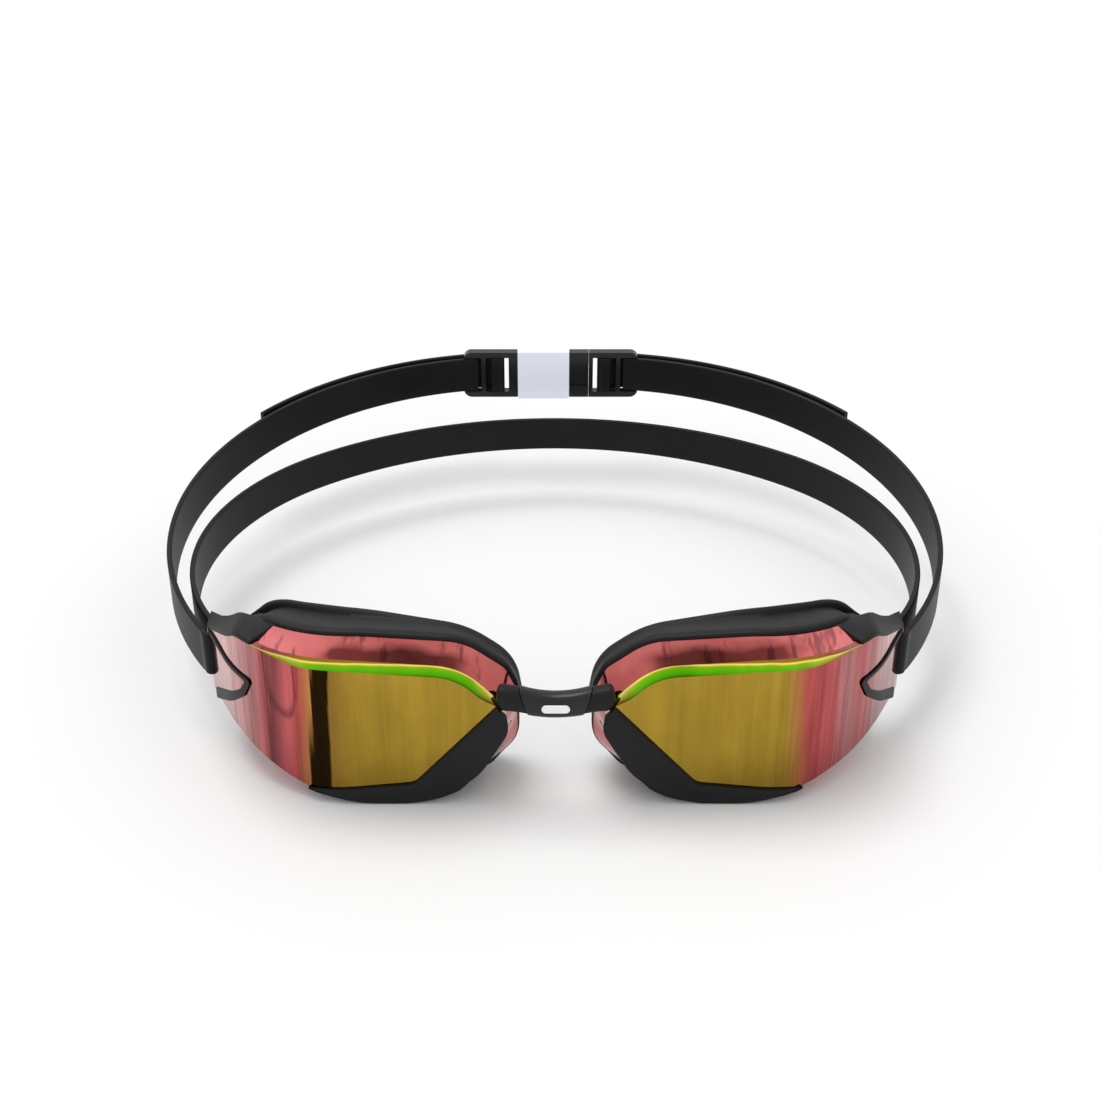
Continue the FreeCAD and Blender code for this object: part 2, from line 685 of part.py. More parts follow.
def make_straps():
    near = (dim("anchor_y"), dim("anchor_z"), dim("anchor_width"))
    lower_side = side_profile("lower_side", near, (dim("lower_back_y"), dim("anchor_z"), dim("lower_back_width")))
    upper_side = side_profile("upper_side", near,
                              (dim("upper_back_y"), dim("upper_back_z"), dim("upper_back_width")))
    thick = dim("strap_thick")
    half = band_face(Vector(0, dim("lower_back_y"), 0), 0.0, loop_arcs("lower", ["back", "side", "front"]), thick)
    lower_half = band("lower_half", half, lower_side)
    lower = fuse("lower_strap", lower_half, mirror("lower_other_half", lower_half))
    bands = []
    for side, extra in (("right", 0.0), ("left", dim("left_lock_x") - dim("right_lock_x"))):
        first = math.radians(dim("upper_first")) + math.asin(extra / dim("upper_radius"))
        arcs = [(dim("upper_radius"), math.radians(dim("upper_last")) - first)]
        arcs += loop_arcs("upper", ["side", "front"])
        face = band_face(upper_start(first, dim("upper_radius")), -first, arcs, thick)
        bands.append((side, band("upper_%s_band" % side, face, upper_side)))
    right_band = bands[0][1]
    left_band = mirror("upper_left_mirror", bands[1][1])
    return lower, right_band, left_band, make_tail("right_tail", 0.0, upper_side), make_tail(
        "left_tail", dim("left_lock_x") - dim("right_lock_x"), upper_side)


def make_tail(name, extra, side):
    """Turn round the buckle's main bar, a ramp behind the other bars and the free end along the band."""
    thick = dim("tail_thick")
    lock = dim("right_lock_x") + extra
    bar_left = lock + dim("main_bar_x")
    middle = dim("clip_y") - dim("main_bar_ahead")
    turn = dim("main_bar_thick") / 2 + dim("tail_clear")
    back_leg = middle + turn + thick / 2
    centre = Vector(bar_left + dim("tail_inset"), middle, 0)
    leg_end = bar_left + dim("main_bar_width") + dim("tail_inset")
    rings = []
    for radius in (turn, turn + thick):
        rings.append((
            Vector(leg_end, middle - radius, 0), Vector(centre.x, middle - radius, 0),
            Vector(centre.x - radius, middle, 0), Vector(centre.x, middle + radius, 0),
            Vector(leg_end, middle + radius, 0),
        ))
    inner, outer = rings
    wrap = Part.Face(Part.Wire(Part.__sortEdges__([
        Part.LineSegment(outer[0], outer[1]).toShape(), Part.Arc(outer[1], outer[2], outer[3]).toShape(),
        Part.LineSegment(outer[3], outer[4]).toShape(), Part.LineSegment(outer[4], inner[4]).toShape(),
        Part.LineSegment(inner[4], inner[3]).toShape(), Part.Arc(inner[3], inner[2], inner[1]).toShape(),
        Part.LineSegment(inner[1], inner[0]).toShape(), Part.LineSegment(inner[0], outer[0]).toShape(),
    ])))
    radius = dim("tail_radius")
    first = math.radians(dim("tail_first")) + math.asin(extra / radius)
    free = band_face(upper_start(first, radius), -first, [(radius, math.radians(dim("tail_last")) - first)], thick)
    start = upper_start(first, radius)
    ramp_start = leg_end - dim("ramp_overlap")
    ramp_far = start + Vector(dim("ramp_end"), -dim("ramp_drop"), 0)
    half = Vector(0, thick / 2, 0)
    ramp = Part.Face(Part.makePolygon([
        Vector(ramp_start, back_leg, 0) - half, Vector(leg_end, back_leg, 0) - half, ramp_far - half,
        ramp_far + half, Vector(ramp_start, back_leg, 0) + half, Vector(ramp_start, back_leg, 0) - half,
    ]))
    up = Vector(0, 0, dim("tall"))
    pieces = [feature("%s_%s" % (name, part), face.extrude(up)) for part, face in
              (("wrap", wrap), ("ramp", ramp), ("free", free))]
    return common(name, fuse(name + "_upright", *pieces), side)


# ------------------------------------------------------------ rear clip
def clip_box(name, x, y, z, length, width, height):
    """Box placed from the clip's middle plane and middle height."""
    return box(name, x, "Dim.clip_y + (%s)" % y, "Dim.clip_z + (%s)" % z, length, width, height)


def make_lock(name, lock_x):
    """Ladder lock: rounded frame with a window, a main bar, a cross bar and an end rail between the straps."""
    body = clip_box(name + "_body", lock_x, "-Dim.lock_thick / 2", "-Dim.lock_height / 2", "Dim.lock_length",
                    "Dim.lock_thick", "Dim.lock_height")
    doc.recompute()
    rounded = doc.addObject("Part::Fillet", name + "_rounded")
    rounded.Base = body
    far_x = body.Shape.BoundBox.XMax
    rounded.Edges = [
        (index, dim("lock_corner"), dim("lock_corner")) for index, edge in enumerate(body.Shape.Edges, start=1)
        if edge.BoundBox.YLength > dim("lock_thick") / 2 and abs(edge.BoundBox.XMax - far_x) < dim("seam")
    ]
    window = clip_box(name + "_window", lock_x + " + Dim.lock_wall", "-Dim.lock_thick", "-Dim.window_height / 2",
                      "Dim.window_length", "2 * Dim.lock_thick", "Dim.window_height")
    front_recess = clip_box(name + "_front_recess", lock_x + " + Dim.lock_wall", "-Dim.lock_thick",
                            "-Dim.window_height / 2", "Dim.lock_length", "Dim.lock_thick + Dim.end_rail_front",
                            "Dim.window_height")
    back_recess = clip_box(name + "_back_recess", lock_x + " + Dim.lock_wall + Dim.window_length",
                           "Dim.end_rail_back", "-Dim.window_height / 2", "Dim.lock_length", "Dim.lock_thick",
                           "Dim.window_height")
    bar_low = "-Dim.window_height / 2 - Dim.bar_root"
    bar_height = "Dim.window_height + 2 * Dim.bar_root"
    main_bar = clip_box(name + "_main_bar", lock_x + " + Dim.main_bar_x",
                        "-Dim.main_bar_ahead - Dim.main_bar_thick / 2", bar_low, "Dim.main_bar_width",
                        "Dim.main_bar_thick", bar_height)
    cross_bar = clip_box(name + "_cross_bar", lock_x + " + Dim.cross_bar_x", "-Dim.lock_thick / 2", bar_low,
                         "Dim.cross_bar_width", "Dim.cross_bar_thick", bar_height)
    opened = cut(name + "_opened", rounded, fuse(name + "_openings", window, front_recess, back_recess))
    return fuse(name, opened, main_bar, cross_bar)


def make_clip():
    left_lock = mirror("left_lock", make_lock("left_lock_source", "Dim.left_lock_x"))
    right_lock = make_lock("right_lock", "Dim.right_lock_x")
    core = clip_box("socket_core", "Dim.socket_left", "-Dim.sleeve_thick / 2 + Dim.sleeve_wall + Dim.sleeve_fit",
                    "-Dim.sleeve_height / 2 + Dim.sleeve_wall + Dim.sleeve_fit_z",
                    "Dim.sleeve_right - Dim.socket_left + Dim.joint_gap",
                    "Dim.sleeve_thick - 2 * Dim.sleeve_wall - 2 * Dim.sleeve_fit",
                    "Dim.sleeve_height - 2 * Dim.sleeve_wall - 2 * Dim.sleeve_fit_z")
    jaws = clip_box("socket_jaws", "Dim.sleeve_right + Dim.joint_gap", "-Dim.lock_thick / 2",
                    "-Dim.lock_height / 2", "Dim.socket_right - Dim.sleeve_right - Dim.joint_gap",
                    "Dim.lock_thick", "Dim.lock_height")
    joiner = clip_box("socket_joiner", "-Dim.left_lock_x - Dim.joint_gap", "-Dim.lock_thick / 2",
                      "-Dim.lock_height / 2", "Dim.left_lock_x + Dim.sleeve_left", "Dim.lock_thick",
                      "Dim.lock_height")
    channel = clip_box("socket_channel", "Dim.channel_left", "Dim.channel_front", "-Dim.channel_height / 2",
                       "Dim.tall", "Dim.channel_thick", "Dim.channel_height")
    mouth = clip_box("socket_mouth", "Dim.sleeve_right", "-Dim.lock_thick", "-Dim.channel_height / 2",
                     "Dim.tall", "2 * Dim.lock_thick", "Dim.channel_height")
    groove = clip_box("socket_groove", "Dim.barb_left - Dim.groove_ahead",
                      "Dim.tongue_front - Dim.barb_proud - Dim.groove_clear",
                      "-Dim.barb_height / 2 - Dim.groove_clear", "Dim.tall", "Dim.groove_deep",
                      "Dim.barb_height + 2 * Dim.groove_clear")
    core_end = clip_box("core_end", "-Dim.left_lock_x - Dim.margin", "-Dim.margin", "-Dim.lock_height",
                        "Dim.margin", "2 * Dim.margin", "2 * Dim.lock_height")
    trimmed_core = cut("core_trimmed", core, core_end)
    whole = fuse("socket_whole", left_lock, trimmed_core, jaws, joiner)
    socket = cut("clip_socket", whole, fuse("socket_spaces", channel, mouth, groove))
    sleeve_outer = clip_box("sleeve_outer", "Dim.sleeve_left", "-Dim.sleeve_thick / 2", "-Dim.sleeve_height / 2",
                            "Dim.sleeve_right - Dim.sleeve_left", "Dim.sleeve_thick", "Dim.sleeve_height")
    sleeve_inner = clip_box("sleeve_inner", "Dim.sleeve_left - Dim.margin",
                            "-Dim.sleeve_thick / 2 + Dim.sleeve_wall", "-Dim.sleeve_height / 2 + Dim.sleeve_wall",
                            "Dim.sleeve_right - Dim.sleeve_left + 2 * Dim.margin",
                            "Dim.sleeve_thick - 2 * Dim.sleeve_wall", "Dim.sleeve_height - 2 * Dim.sleeve_wall")
    sleeve = cut("clip_sleeve", sleeve_outer, sleeve_inner)
    blade = clip_box("tongue_blade", "Dim.tongue_left", "Dim.tongue_front", "-Dim.tongue_height / 2",
                     "Dim.tongue_right - Dim.tongue_left", "Dim.tongue_thick", "Dim.tongue_height")
    barb = clip_box("tongue_barb", "Dim.barb_left", "Dim.tongue_front - Dim.barb_proud", "-Dim.barb_height / 2",
                    "Dim.barb_length", "Dim.barb_proud + Dim.barb_root", "Dim.barb_height")
    tongue = fuse("clip_tongue", blade, barb)
    return socket, sleeve, right_lock, tongue


# ------------------------------------------------------------ nodes and export
def add_pair(parts, name, right_item):
    parts["right_" + name] = right_item
    parts["left_" + name] = mirror("left_" + name + "_node", right_item)


def build():
    parts = {}
    add_pair(parts, "lens", make_lens())
    add_pair(parts, "frame", make_frame())
    add_pair(parts, "gasket", make_gasket())
    add_pair(parts, "temple_trim", make_trim())
    add_pair(parts, "strap_fold", make_fold())
    parts["bridge_core"], parts["bridge_shell"], parts["bridge_badge"] = make_bridge()
    lower, right_band, left_band, right_tail, left_tail = make_straps()
    parts["lower_strap"] = lower
    parts["right_upper_strap"] = right_band
    parts["left_upper_strap"] = left_band
    parts["right_strap_tail"] = right_tail
    parts["left_strap_tail"] = mirror("left_tail_mirror", left_tail)
    parts["clip_socket"], parts["clip_sleeve"], parts["clip_plug"], parts["clip_tongue"] = make_clip()
    doc.recompute()
    return parts


def check(parts):
    for item in doc.Objects:
        if "Invalid" in item.State or "Error" in item.State:
            raise RuntimeError("%s failed: %s" % (item.Name, item.State))
    for name, item in parts.items():
        shape = item.Shape
        if shape.isNull() or not shape.isValid() or not shape.Solids:
            raise RuntimeError("%s has no valid solid" % name)


def export(parts):
    os.makedirs("parts", exist_ok=True)
    for name, item in parts.items():
        item.Label = name
        item.Shape.exportStep("parts/%s.step" % name)
        bounds = item.Shape.BoundBox
        print("%-20s solids %d volume %9.2f  x %7.2f %7.2f  y %7.2f %7.2f  z %6.2f %6.2f" % (
            name, len(item.Shape.Solids), item.Shape.Volume, bounds.XMin, bounds.XMax, bounds.YMin, bounds.YMax,
            bounds.ZMin, bounds.ZMax))


nodes = build()
check(nodes)
export(nodes)
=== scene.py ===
import math

import bmesh
import bpy
import numpy as np
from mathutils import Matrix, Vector


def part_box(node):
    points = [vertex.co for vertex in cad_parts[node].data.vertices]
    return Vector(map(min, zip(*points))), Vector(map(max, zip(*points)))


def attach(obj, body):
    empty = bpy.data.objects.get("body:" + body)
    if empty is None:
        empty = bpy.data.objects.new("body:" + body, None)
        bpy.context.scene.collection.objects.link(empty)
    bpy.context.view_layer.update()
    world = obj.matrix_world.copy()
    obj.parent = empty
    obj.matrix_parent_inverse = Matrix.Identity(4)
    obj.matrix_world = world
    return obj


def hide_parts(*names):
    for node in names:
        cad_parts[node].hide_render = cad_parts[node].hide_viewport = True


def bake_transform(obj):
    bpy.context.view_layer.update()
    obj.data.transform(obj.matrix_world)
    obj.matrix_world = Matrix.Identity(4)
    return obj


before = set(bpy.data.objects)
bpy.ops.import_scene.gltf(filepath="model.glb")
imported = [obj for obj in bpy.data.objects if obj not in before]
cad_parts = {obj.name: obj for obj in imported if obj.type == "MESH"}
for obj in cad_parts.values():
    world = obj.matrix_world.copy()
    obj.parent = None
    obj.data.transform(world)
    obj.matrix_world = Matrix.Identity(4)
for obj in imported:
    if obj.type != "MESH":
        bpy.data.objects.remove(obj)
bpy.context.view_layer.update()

# Swim goggles. Drawings are in millimetres: +X to the right, +Y from the lenses to the rear clip, +Z up.
# Depths are measured back from the front of the lenses.

MM = 0.001
FRONT_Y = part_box("right_lens")[0].y / MM
SIDES = (("right", 1), ("left", -1))

# Plan curve of the lens front: flat, then an arc, then a straight temple arm.
PLAN_FLAT = 46.0
PLAN_RADIUS = 36.0
PLAN_SWEEP = math.radians(63.5)
LENS_DEPTH = 10.3
FRAME_BACK = 12.85

# Outlines in the front view of the right-hand pod: x, z and corner radius.
LENS_FRONT = [
    (13.0, 28.0, 6.0), (21.8, 36.7, 15.0), (48.0, 38.7, 60.0), (71.0, 38.3, 10.0), (74.8, 37.5, 2.0),
    (84.9, 27.2, 0.6), (84.9, 9.4, 1.0), (76.5, 10.4, 6.0), (57.0, 2.7, 24.0), (43.0, 1.3, 40.0),
    (34.5, 1.3, 20.0), (26.0, 2.9, 22.0), (17.9, 8.4, 14.0), (10.9, 20.2, 6.0), (11.3, 24.6, 4.0),
]
CUP = [
    (13.0, 28.0, 6.0), (21.8, 36.7, 15.0), (48.0, 38.7, 60.0), (69.6, 38.35, 6.0), (77.0, 29.8, 6.0),
    (77.5, 15.0, 4.0), (74.0, 9.4, 5.0), (57.0, 2.7, 24.0), (43.0, 1.3, 40.0), (34.5, 1.3, 20.0),
    (26.0, 2.9, 22.0), (17.9, 8.4, 14.0), (10.9, 20.2, 6.0), (11.3, 24.6, 4.0),
]
CUP_BACK = [
    (11.6, 30.8, 6.0), (21.0, 38.0, 15.0), (46.0, 39.75, 60.0), (68.6, 38.9, 6.0), (76.8, 29.6, 6.0),
    (77.5, 15.0, 4.0), (74.0, 9.4, 5.0), (57.0, 2.7, 24.0), (43.0, 1.3, 40.0), (31.0, 1.3, 24.0),
    (17.4, 1.9, 9.0), (8.9, 11.4, 9.0), (8.9, 25.0, 8.0),
]
RIM = [
    (9.4, 29.0, 12.0), (20.6, 36.4, 22.0), (44.0, 38.9, 50.0), (67.5, 37.4, 12.0), (77.4, 25.5, 9.0),
    (76.0, 15.5, 8.0), (58.0, 3.0, 20.0), (44.0, 1.0, 20.0), (32.0, 0.8, 16.0), (13.5, 5.5, 9.0),
    (7.4, 17.0, 10.0),
]
RIM_PLAN = [(0.0, 18.0, 0.0), (46.0, 24.0, 60.0), (68.0, 31.0, 40.0), (90.0, 52.0, 0.0)]
CHIN_UPPER = [(13.4, 27.2, 0.0), (32.8, 5.6, 4.0), (57.4, 3.05, 0.0)]
CHIN_LOWER = [
    (11.2, 25.0, 0.0), (10.6, 20.3, 6.0), (17.5, 8.2, 14.0), (26.0, 1.9, 22.0), (36.0, 0.0, 20.0),
    (42.5, 0.0, 24.0), (57.4, 2.75, 0.0),
]
ROOF_EDGE = [(64.6, 38.45, 0.0), (73.9, 38.05, 4.0), (84.7, 27.5, 0.0)]
LENS_THICK = 2.0
BEVEL = 1.9
EDGE_BEVEL = 0.22
WALL_THICK = 1.6
FRAME_INSET = 1.55
FRAME_PROUD = 0.85
NOSE_THINNER = 0.45
POD_CENTRE = np.array([44.0, 20.0])

# Side wall of the lens: depths of its rings, and how far each is toward the frame.
WALL_OUTSIDE = [
    (BEVEL, 0.0), (2.6, 0.1), (4.0, 0.25), (5.6, 0.45), (7.2, 0.65), (8.8, 0.8), (LENS_DEPTH, 1.0),
]
WALL_INSIDE = [(LENS_DEPTH, 1.0), (7.0, 0.6), (4.0, 0.3), (BEVEL, 0.0)]
BEVEL_STEPS = (0.0, 0.06, 0.16, 0.3, 0.5, 0.7, 0.84, 0.94, 1.0)
BACK_SHARES = (0.8, 0.5, 0.2)

# Lip of the gasket: share of the neck and distance forward for the flare, inward and forward elsewhere.
LIP_FLARE = ((0.62, 1.9), (0.30, 1.6), (0.08, 1.2))
LIP_OUTER = ((0.0, 0.8), (0.12, 0.38), (0.42, 0.08), (0.9, 0.0))
LIP_INNER = ((1.8, 0.10), (2.8, 0.22), (3.6, 0.42), (4.2, 0.85), (4.45, 1.5))
LIP_WIDTH = 4.5
LIP_BACK = 1.9
LIP_START = 2.3

# Sections of the frame: share of how proud it stands and depth for the ring, outward and depth elsewhere.
RING_SECTION = (
    (0.10, LENS_DEPTH + 0.05), (0.5, LENS_DEPTH + 0.14), (0.82, LENS_DEPTH + 0.42), (0.97, LENS_DEPTH + 0.85),
    (1.0, LENS_DEPTH + 1.3), (1.0, FRAME_BACK - 0.5), (0.93, FRAME_BACK - 0.2), (0.7, FRAME_BACK - 0.03),
)
SKIRT_SECTION = (
    (0.05, -0.6), (0.75, -0.98), (1.12, -0.86), (1.3, -0.45),
    (1.3, FRAME_BACK - 0.5), (1.05, FRAME_BACK - 0.1), (0.05, FRAME_BACK - 0.1),
)
SKIRT_TOP = 8.0
SKIRT_NOSE = 18.5
SKIRT_TEMPLE = 58.0
TEMPLE_WEB = ((0.05, 3.2), (0.9, 3.2), (0.9, 12.4), (0.05, 12.4))
TEMPLE_WEB_START = 76.2
TEMPLE_WEB_HEIGHTS = (14.0, 34.0)
CHIN_EDGE = ((0.0, 0.1), (0.0, -0.40), (0.06, -0.62), (0.22, -0.85), (0.5, -1.0))
CHIN_FLAT = (0.42, 0.5, 0.58)
CHIN_ROUND = 1.3
ROOF_FRONT = 10.0
ROOF_BACK = 12.5
ROOF_NARROWS = 6.0
ROOF_PROUD = ((0.25, -0.25), (0.0, 0.10), (0.06, 0.45), (0.35, 0.72), (0.9, 0.85))
ROOF_DEEP = ((-0.9, 0.95), (-0.3, 0.75), (0.0, 0.3), (0.0, -0.9), (-0.8, -1.1))

# Strap: its section, then the two loops from the back to the anchors. Arcs are radius and sweep in degrees.
# Each loop's back is its y, middle height and width.
STRAP_THICK = 1.4
STRAP_CORNER = 0.38
STRAP_SHOULDER = 0.8
STEP = 1.2
ANCHOR_Y = 34.0
ANCHOR_Z = 20.0
ANCHOR_WIDTH = 12.4
LOWER_BACK = (155.8, 20.0, 10.1)
LOWER_ARCS = [(107.9, 40.0), (72.3, 59.9), (65.2, 25.3)]
UPPER_BACK = (177.2, 30.7, 11.0)
UPPER_CENTRE = (12.0, 88.3)
UPPER_RADIUS = 89.5
UPPER_FIRST = 6.4
UPPER_BACK_LAST = 43.7
UPPER_ARCS = [(93.0, 53.9), (86.8, 27.7)]

# The strap's turn round the arm's end bar: its height and width, then along the arm, outward and corner radius.
FOLD_MIDDLE = 20.3
FOLD_WIDTH = 11.8
FOLD_LINE = [(17.4, 0.85, 0.0), (13.7, 0.85, 1.1), (13.7, -2.85, 1.1), (17.4, -2.85, 0.0)]

# Free tails: an arc behind the upper loop, and the turn round the lock's bar. The left lock is shifted outward.
TAIL_RADIUS = 92.4
TAIL_THICK = 1.3
TAIL_FIRST = 7.1
TAIL_LAST = 54.9
LOCK_SHIFT = 2.1
LOCK_START = 11.0
LOCK_BAR = 4.7
LOCK_DEPTH = 177.3
LOCK_LENGTH = 16.0
TURN_CLEAR = 0.77
TURN_LEG = 2.0
TAIL_LEAVES = 0.6
TAIL_WIDER = 0.6

# Nose bridge: a bar curved about a point above it, and its slanted seams.
BRIDGE_CENTRE_Z = 52.5
BRIDGE_TOP = 22.5
BRIDGE_LOW = 28.6
BRIDGE_Y = -88.1
BRIDGE_DEPTH = 4.9
SEAM_TOP = 8.2
SEAM_LOW = 6.2
END_LENGTH = 6.3
END_ROUND = 1.7
END_RISE = 0.29
END_SPLIT = 0.3
SEAM_GAP = 0.1
WIDE = 9.0


# ------------------------------------------------------------ drawing helpers
def rounded_line(corners, closed):
    """Dense polyline through corners (u, v, radius), each rounded by a tangent arc."""
    made = []
    count = len(corners)
    for index, (u, v, radius) in enumerate(corners):
        here = np.array([u, v])
        at_end = not closed and index in (0, count - 1)
        if at_end or radius < 1e-6:
            made.append(here)
            continue
        before = np.array(corners[index - 1][:2]) - here
        after = np.array(corners[(index + 1) % count][:2]) - here
        before /= np.linalg.norm(before)
        after /= np.linalg.norm(after)
        half = math.acos(float(np.clip(before @ after, -1, 1))) / 2
        if abs(half - math.pi / 2) < 1e-4:
            made.append(here)
            continue
        run = radius / math.tan(half)
        centre = here + (before + after) / np.linalg.norm(before + after) * radius / math.sin(half)
        start = here + before * run - centre
        turn = math.pi - 2 * half
        way = 1 if before[0] * after[1] - before[1] * after[0] < 0 else -1
        first = math.atan2(start[1], start[0])
        for share in np.linspace(0, 1, 13):
            angle = first + way * turn * share
            made.append(centre + radius * np.array([math.cos(angle), math.sin(angle)]))
    return np.array(made)


def resample(points, count, closed):
    """The polyline's points again, count of them, evenly spaced."""
    line = np.vstack([points, points[:1]]) if closed else points
    along = np.concatenate([[0], np.cumsum(np.linalg.norm(np.diff(line, axis=0), axis=1))])
    at = np.linspace(0, along[-1], count, endpoint=not closed)
    return np.stack([np.interp(at, along, line[:, k]) for k in range(line.shape[1])], axis=1)


def outward(outline):
    """Outward unit normals of a closed clockwise outline."""
    tangent = np.roll(outline, -1, axis=0) - np.roll(outline, 1, axis=0)
    tangent /= np.linalg.norm(tangent, axis=1)[:, None]
    return np.stack([-tangent[:, 1], tangent[:, 0]], axis=1)


def grown(outline, out):
    """A closed clockwise outline moved outward by one amount, or by one amount for each point."""
    return outline + outward(outline) * np.broadcast_to(out, len(outline))[:, None]


def plan_depth(x):
    """How far the lens front curves back at a distance from the middle."""
    x = np.asarray(x, float)
    arc_width = PLAN_RADIUS * math.sin(PLAN_SWEEP)
    over = np.clip(x - PLAN_FLAT, 0, arc_width)
    past = np.clip(x - PLAN_FLAT - arc_width, 0, None)
    return PLAN_RADIUS - np.sqrt(PLAN_RADIUS ** 2 - over ** 2) + past * math.tan(PLAN_SWEEP)


def plan_slope(x):
    """Angle of the lens front's plan curve at a distance from the middle."""
    return np.arcsin(np.clip((np.asarray(x, float) - PLAN_FLAT) / PLAN_RADIUS, 0, math.sin(PLAN_SWEEP)))


def rim_depth(x):
    """How far back the gasket's lip is at a distance from the middle."""
    line = rounded_line(RIM_PLAN, closed=False)
    return np.interp(x, line[:, 0], line[:, 1])


def radii(outline, angles):
    """How far the outline is from the pod's centre at each angle."""
    reach = outline - POD_CENTRE
    found = np.arctan2(reach[:, 1], reach[:, 0])
    order = np.argsort(found)
    return np.interp(angles, found[order], np.linalg.norm(reach, axis=1)[order], period=2 * math.pi)


def around(outline, angles):
    far = radii(outline, angles)
    return POD_CENTRE + far[:, None] * np.stack([np.cos(angles), np.sin(angles)], axis=1)


def at_depth(flat, depth):
    """Points (x, z) of the front view, placed at a depth behind the lens front's plan curve."""
    y = FRONT_Y + plan_depth(flat[:, 0]) + depth
    return np.stack([flat[:, 0], y, flat[:, 1]], axis=1)


def on_plate(flat, inward):
    """Points (x, z) of the front view, placed square inward from the lens front."""
    slope = plan_slope(flat[:, 0])
    x = flat[:, 0] - np.sin(slope) * inward
    y = FRONT_Y + plan_depth(flat[:, 0]) + np.cos(slope) * inward
    return np.stack([x, y, flat[:, 1]], axis=1)


def smooth(value):
    value = np.clip(value, 0, 1)
    return value * value * (3 - 2 * value)


class Shape:
    """Vertices in millimetres and faces, gathered from lofts."""

    def __init__(self):
        self.points = []
        self.faces = []

    def loft(self, rings, ring_closed=True, path_closed=False, caps=True):
        first = len(self.points)
        size = len(rings[0])
        for ring in rings:
            self.points.extend(tuple(float(c) for c in point) for point in ring)
        spans = len(rings) if path_closed else len(rings) - 1
        for i in range(spans):
            here = first + i * size
            there = first + (i + 1) % len(rings) * size
            for k in range(size if ring_closed else size - 1):
                nxt = (k + 1) % size
                self.faces.append((here + k, here + nxt, there + nxt, there + k))
        if caps and not path_closed:
            self.faces.append(tuple(first + k for k in reversed(range(size))))
            self.faces.append(tuple(first + (len(rings) - 1) * size + k for k in range(size)))

    def mirrored(self):
        other = Shape()
        other.points = [(-x, y, z) for x, y, z in self.points]
        other.faces = [tuple(reversed(face)) for face in self.faces]
        return other

    def piece(self, name, material, slot, sharp=35.0):
        mesh = bpy.data.meshes.new(name)
        mesh.from_pydata([Vector(point) * MM for point in self.points], [], self.faces)
        tidy = bmesh.new()
        tidy.from_mesh(mesh)
        bmesh.ops.recalc_face_normals(tidy, faces=tidy.faces)
        tidy.to_mesh(mesh)
        tidy.free()
        mesh.shade_smooth()
        mesh.set_sharp_from_angle(angle=math.radians(sharp))
        mesh.materials.append(material)
        made = bpy.data.objects.new(name, mesh)
        bpy.context.scene.collection.objects.link(made)
        return made


def soften(piece, width, segments=3, angle=30.0):
    """Rounds a piece's hard edges."""
    bevel = piece.modifiers.new("rounded_edges", "BEVEL")
    bevel.width = width * MM
    bevel.segments = segments
    bevel.limit_method = "ANGLE"
    bevel.angle_limit = math.radians(angle)
    bevel.harden_normals = True
    bevel.use_clamp_overlap = True


# ------------------------------------------------------------ materials
class Nodes:
    """A new material's node tree, with its Principled shader."""

    def __init__(self, name):
        self.material = bpy.data.materials.new(name)
        self.material.use_nodes = True
        self.tree = self.material.node_tree
        self.shader = self.tree.nodes["Principled BSDF"]
        self.place = self.tree.nodes.new("ShaderNodeTexCoord").outputs["Object"]

    def add(self, kind, inputs=None, **settings):
        node = self.tree.nodes.new(kind)
        for key, value in settings.items():
            setattr(node, key, value)
        for key, value in (inputs or {}).items():
            self.feed(node.inputs[key], value)
        return node

    def feed(self, socket, value):
        if isinstance(value, bpy.types.NodeSocket):
            self.tree.links.new(value, socket)
        else:
            socket.default_value = value

    def math(self, operation, first, second=0.0, clamp=False):
        node = self.add("ShaderNodeMath", {0: first, 1: second}, operation=operation, use_clamp=clamp)
        return node.outputs[0]

    def noise(self, scale, detail=4.0, stretch=(1.0, 1.0, 1.0), roughness=0.5):
        mapping = self.add("ShaderNodeMapping", {"Vector": self.place, "Scale": stretch})
        inputs = {"Vector": mapping.outputs[0], "Scale": scale, "Detail": detail, "Roughness": roughness}
        return self.add("ShaderNodeTexNoise", inputs).outputs["Fac"]

    def ramp(self, value, stops, ease="LINEAR"):
        node = self.add("ShaderNodeValToRGB", {"Fac": value})
        ramp = node.color_ramp
        ramp.interpolation = ease
        while len(ramp.elements) < len(stops):
            ramp.elements.new(0.5)
        for element, (position, colour) in zip(ramp.elements, stops):
            element.position = position
            element.color = (*colour, 1.0)
        return node.outputs["Color"]

    def mix(self, share, first, second, blend="MIX"):
        node = self.add("ShaderNodeMix", data_type="RGBA", blend_type=blend)
        for key, value in ((0, share), (6, first), (7, second)):
            colour = not isinstance(value, bpy.types.NodeSocket) and key > 0
            self.feed(node.inputs[key], (*value, 1.0) if colour else value)
        return node.outputs[2]

    def shade(self, colour, tone):
        grey = self.add("ShaderNodeCombineColor", {0: tone, 1: tone, 2: tone}).outputs[0]
        return self.mix(1.0, colour, grey, "MULTIPLY")

    def spread(self, value, low, high, to_low=0.0, to_high=1.0):
        inputs = {"Value": value, "From Min": low, "From Max": high, "To Min": to_low, "To Max": to_high}
        return self.add("ShaderNodeMapRange", inputs).outputs[0]

    def stray(self, value, amount):
        """A noise value as a swing of plus or minus half the amount."""
        return self.math("MULTIPLY", self.math("SUBTRACT", value, 0.5), amount)

    def bump(self, height, distance, strength=1.0):
        inputs = {"Height": height, "Distance": distance, "Strength": strength}
        return self.add("ShaderNodeBump", inputs).outputs[0]

    def finish(self, **inputs):
        for key, value in inputs.items():
            colour = isinstance(value, tuple) and len(value) == 3
            self.feed(self.shader.inputs[key.replace("_", " ")], (*value, 1.0) if colour else value)
        return self.material


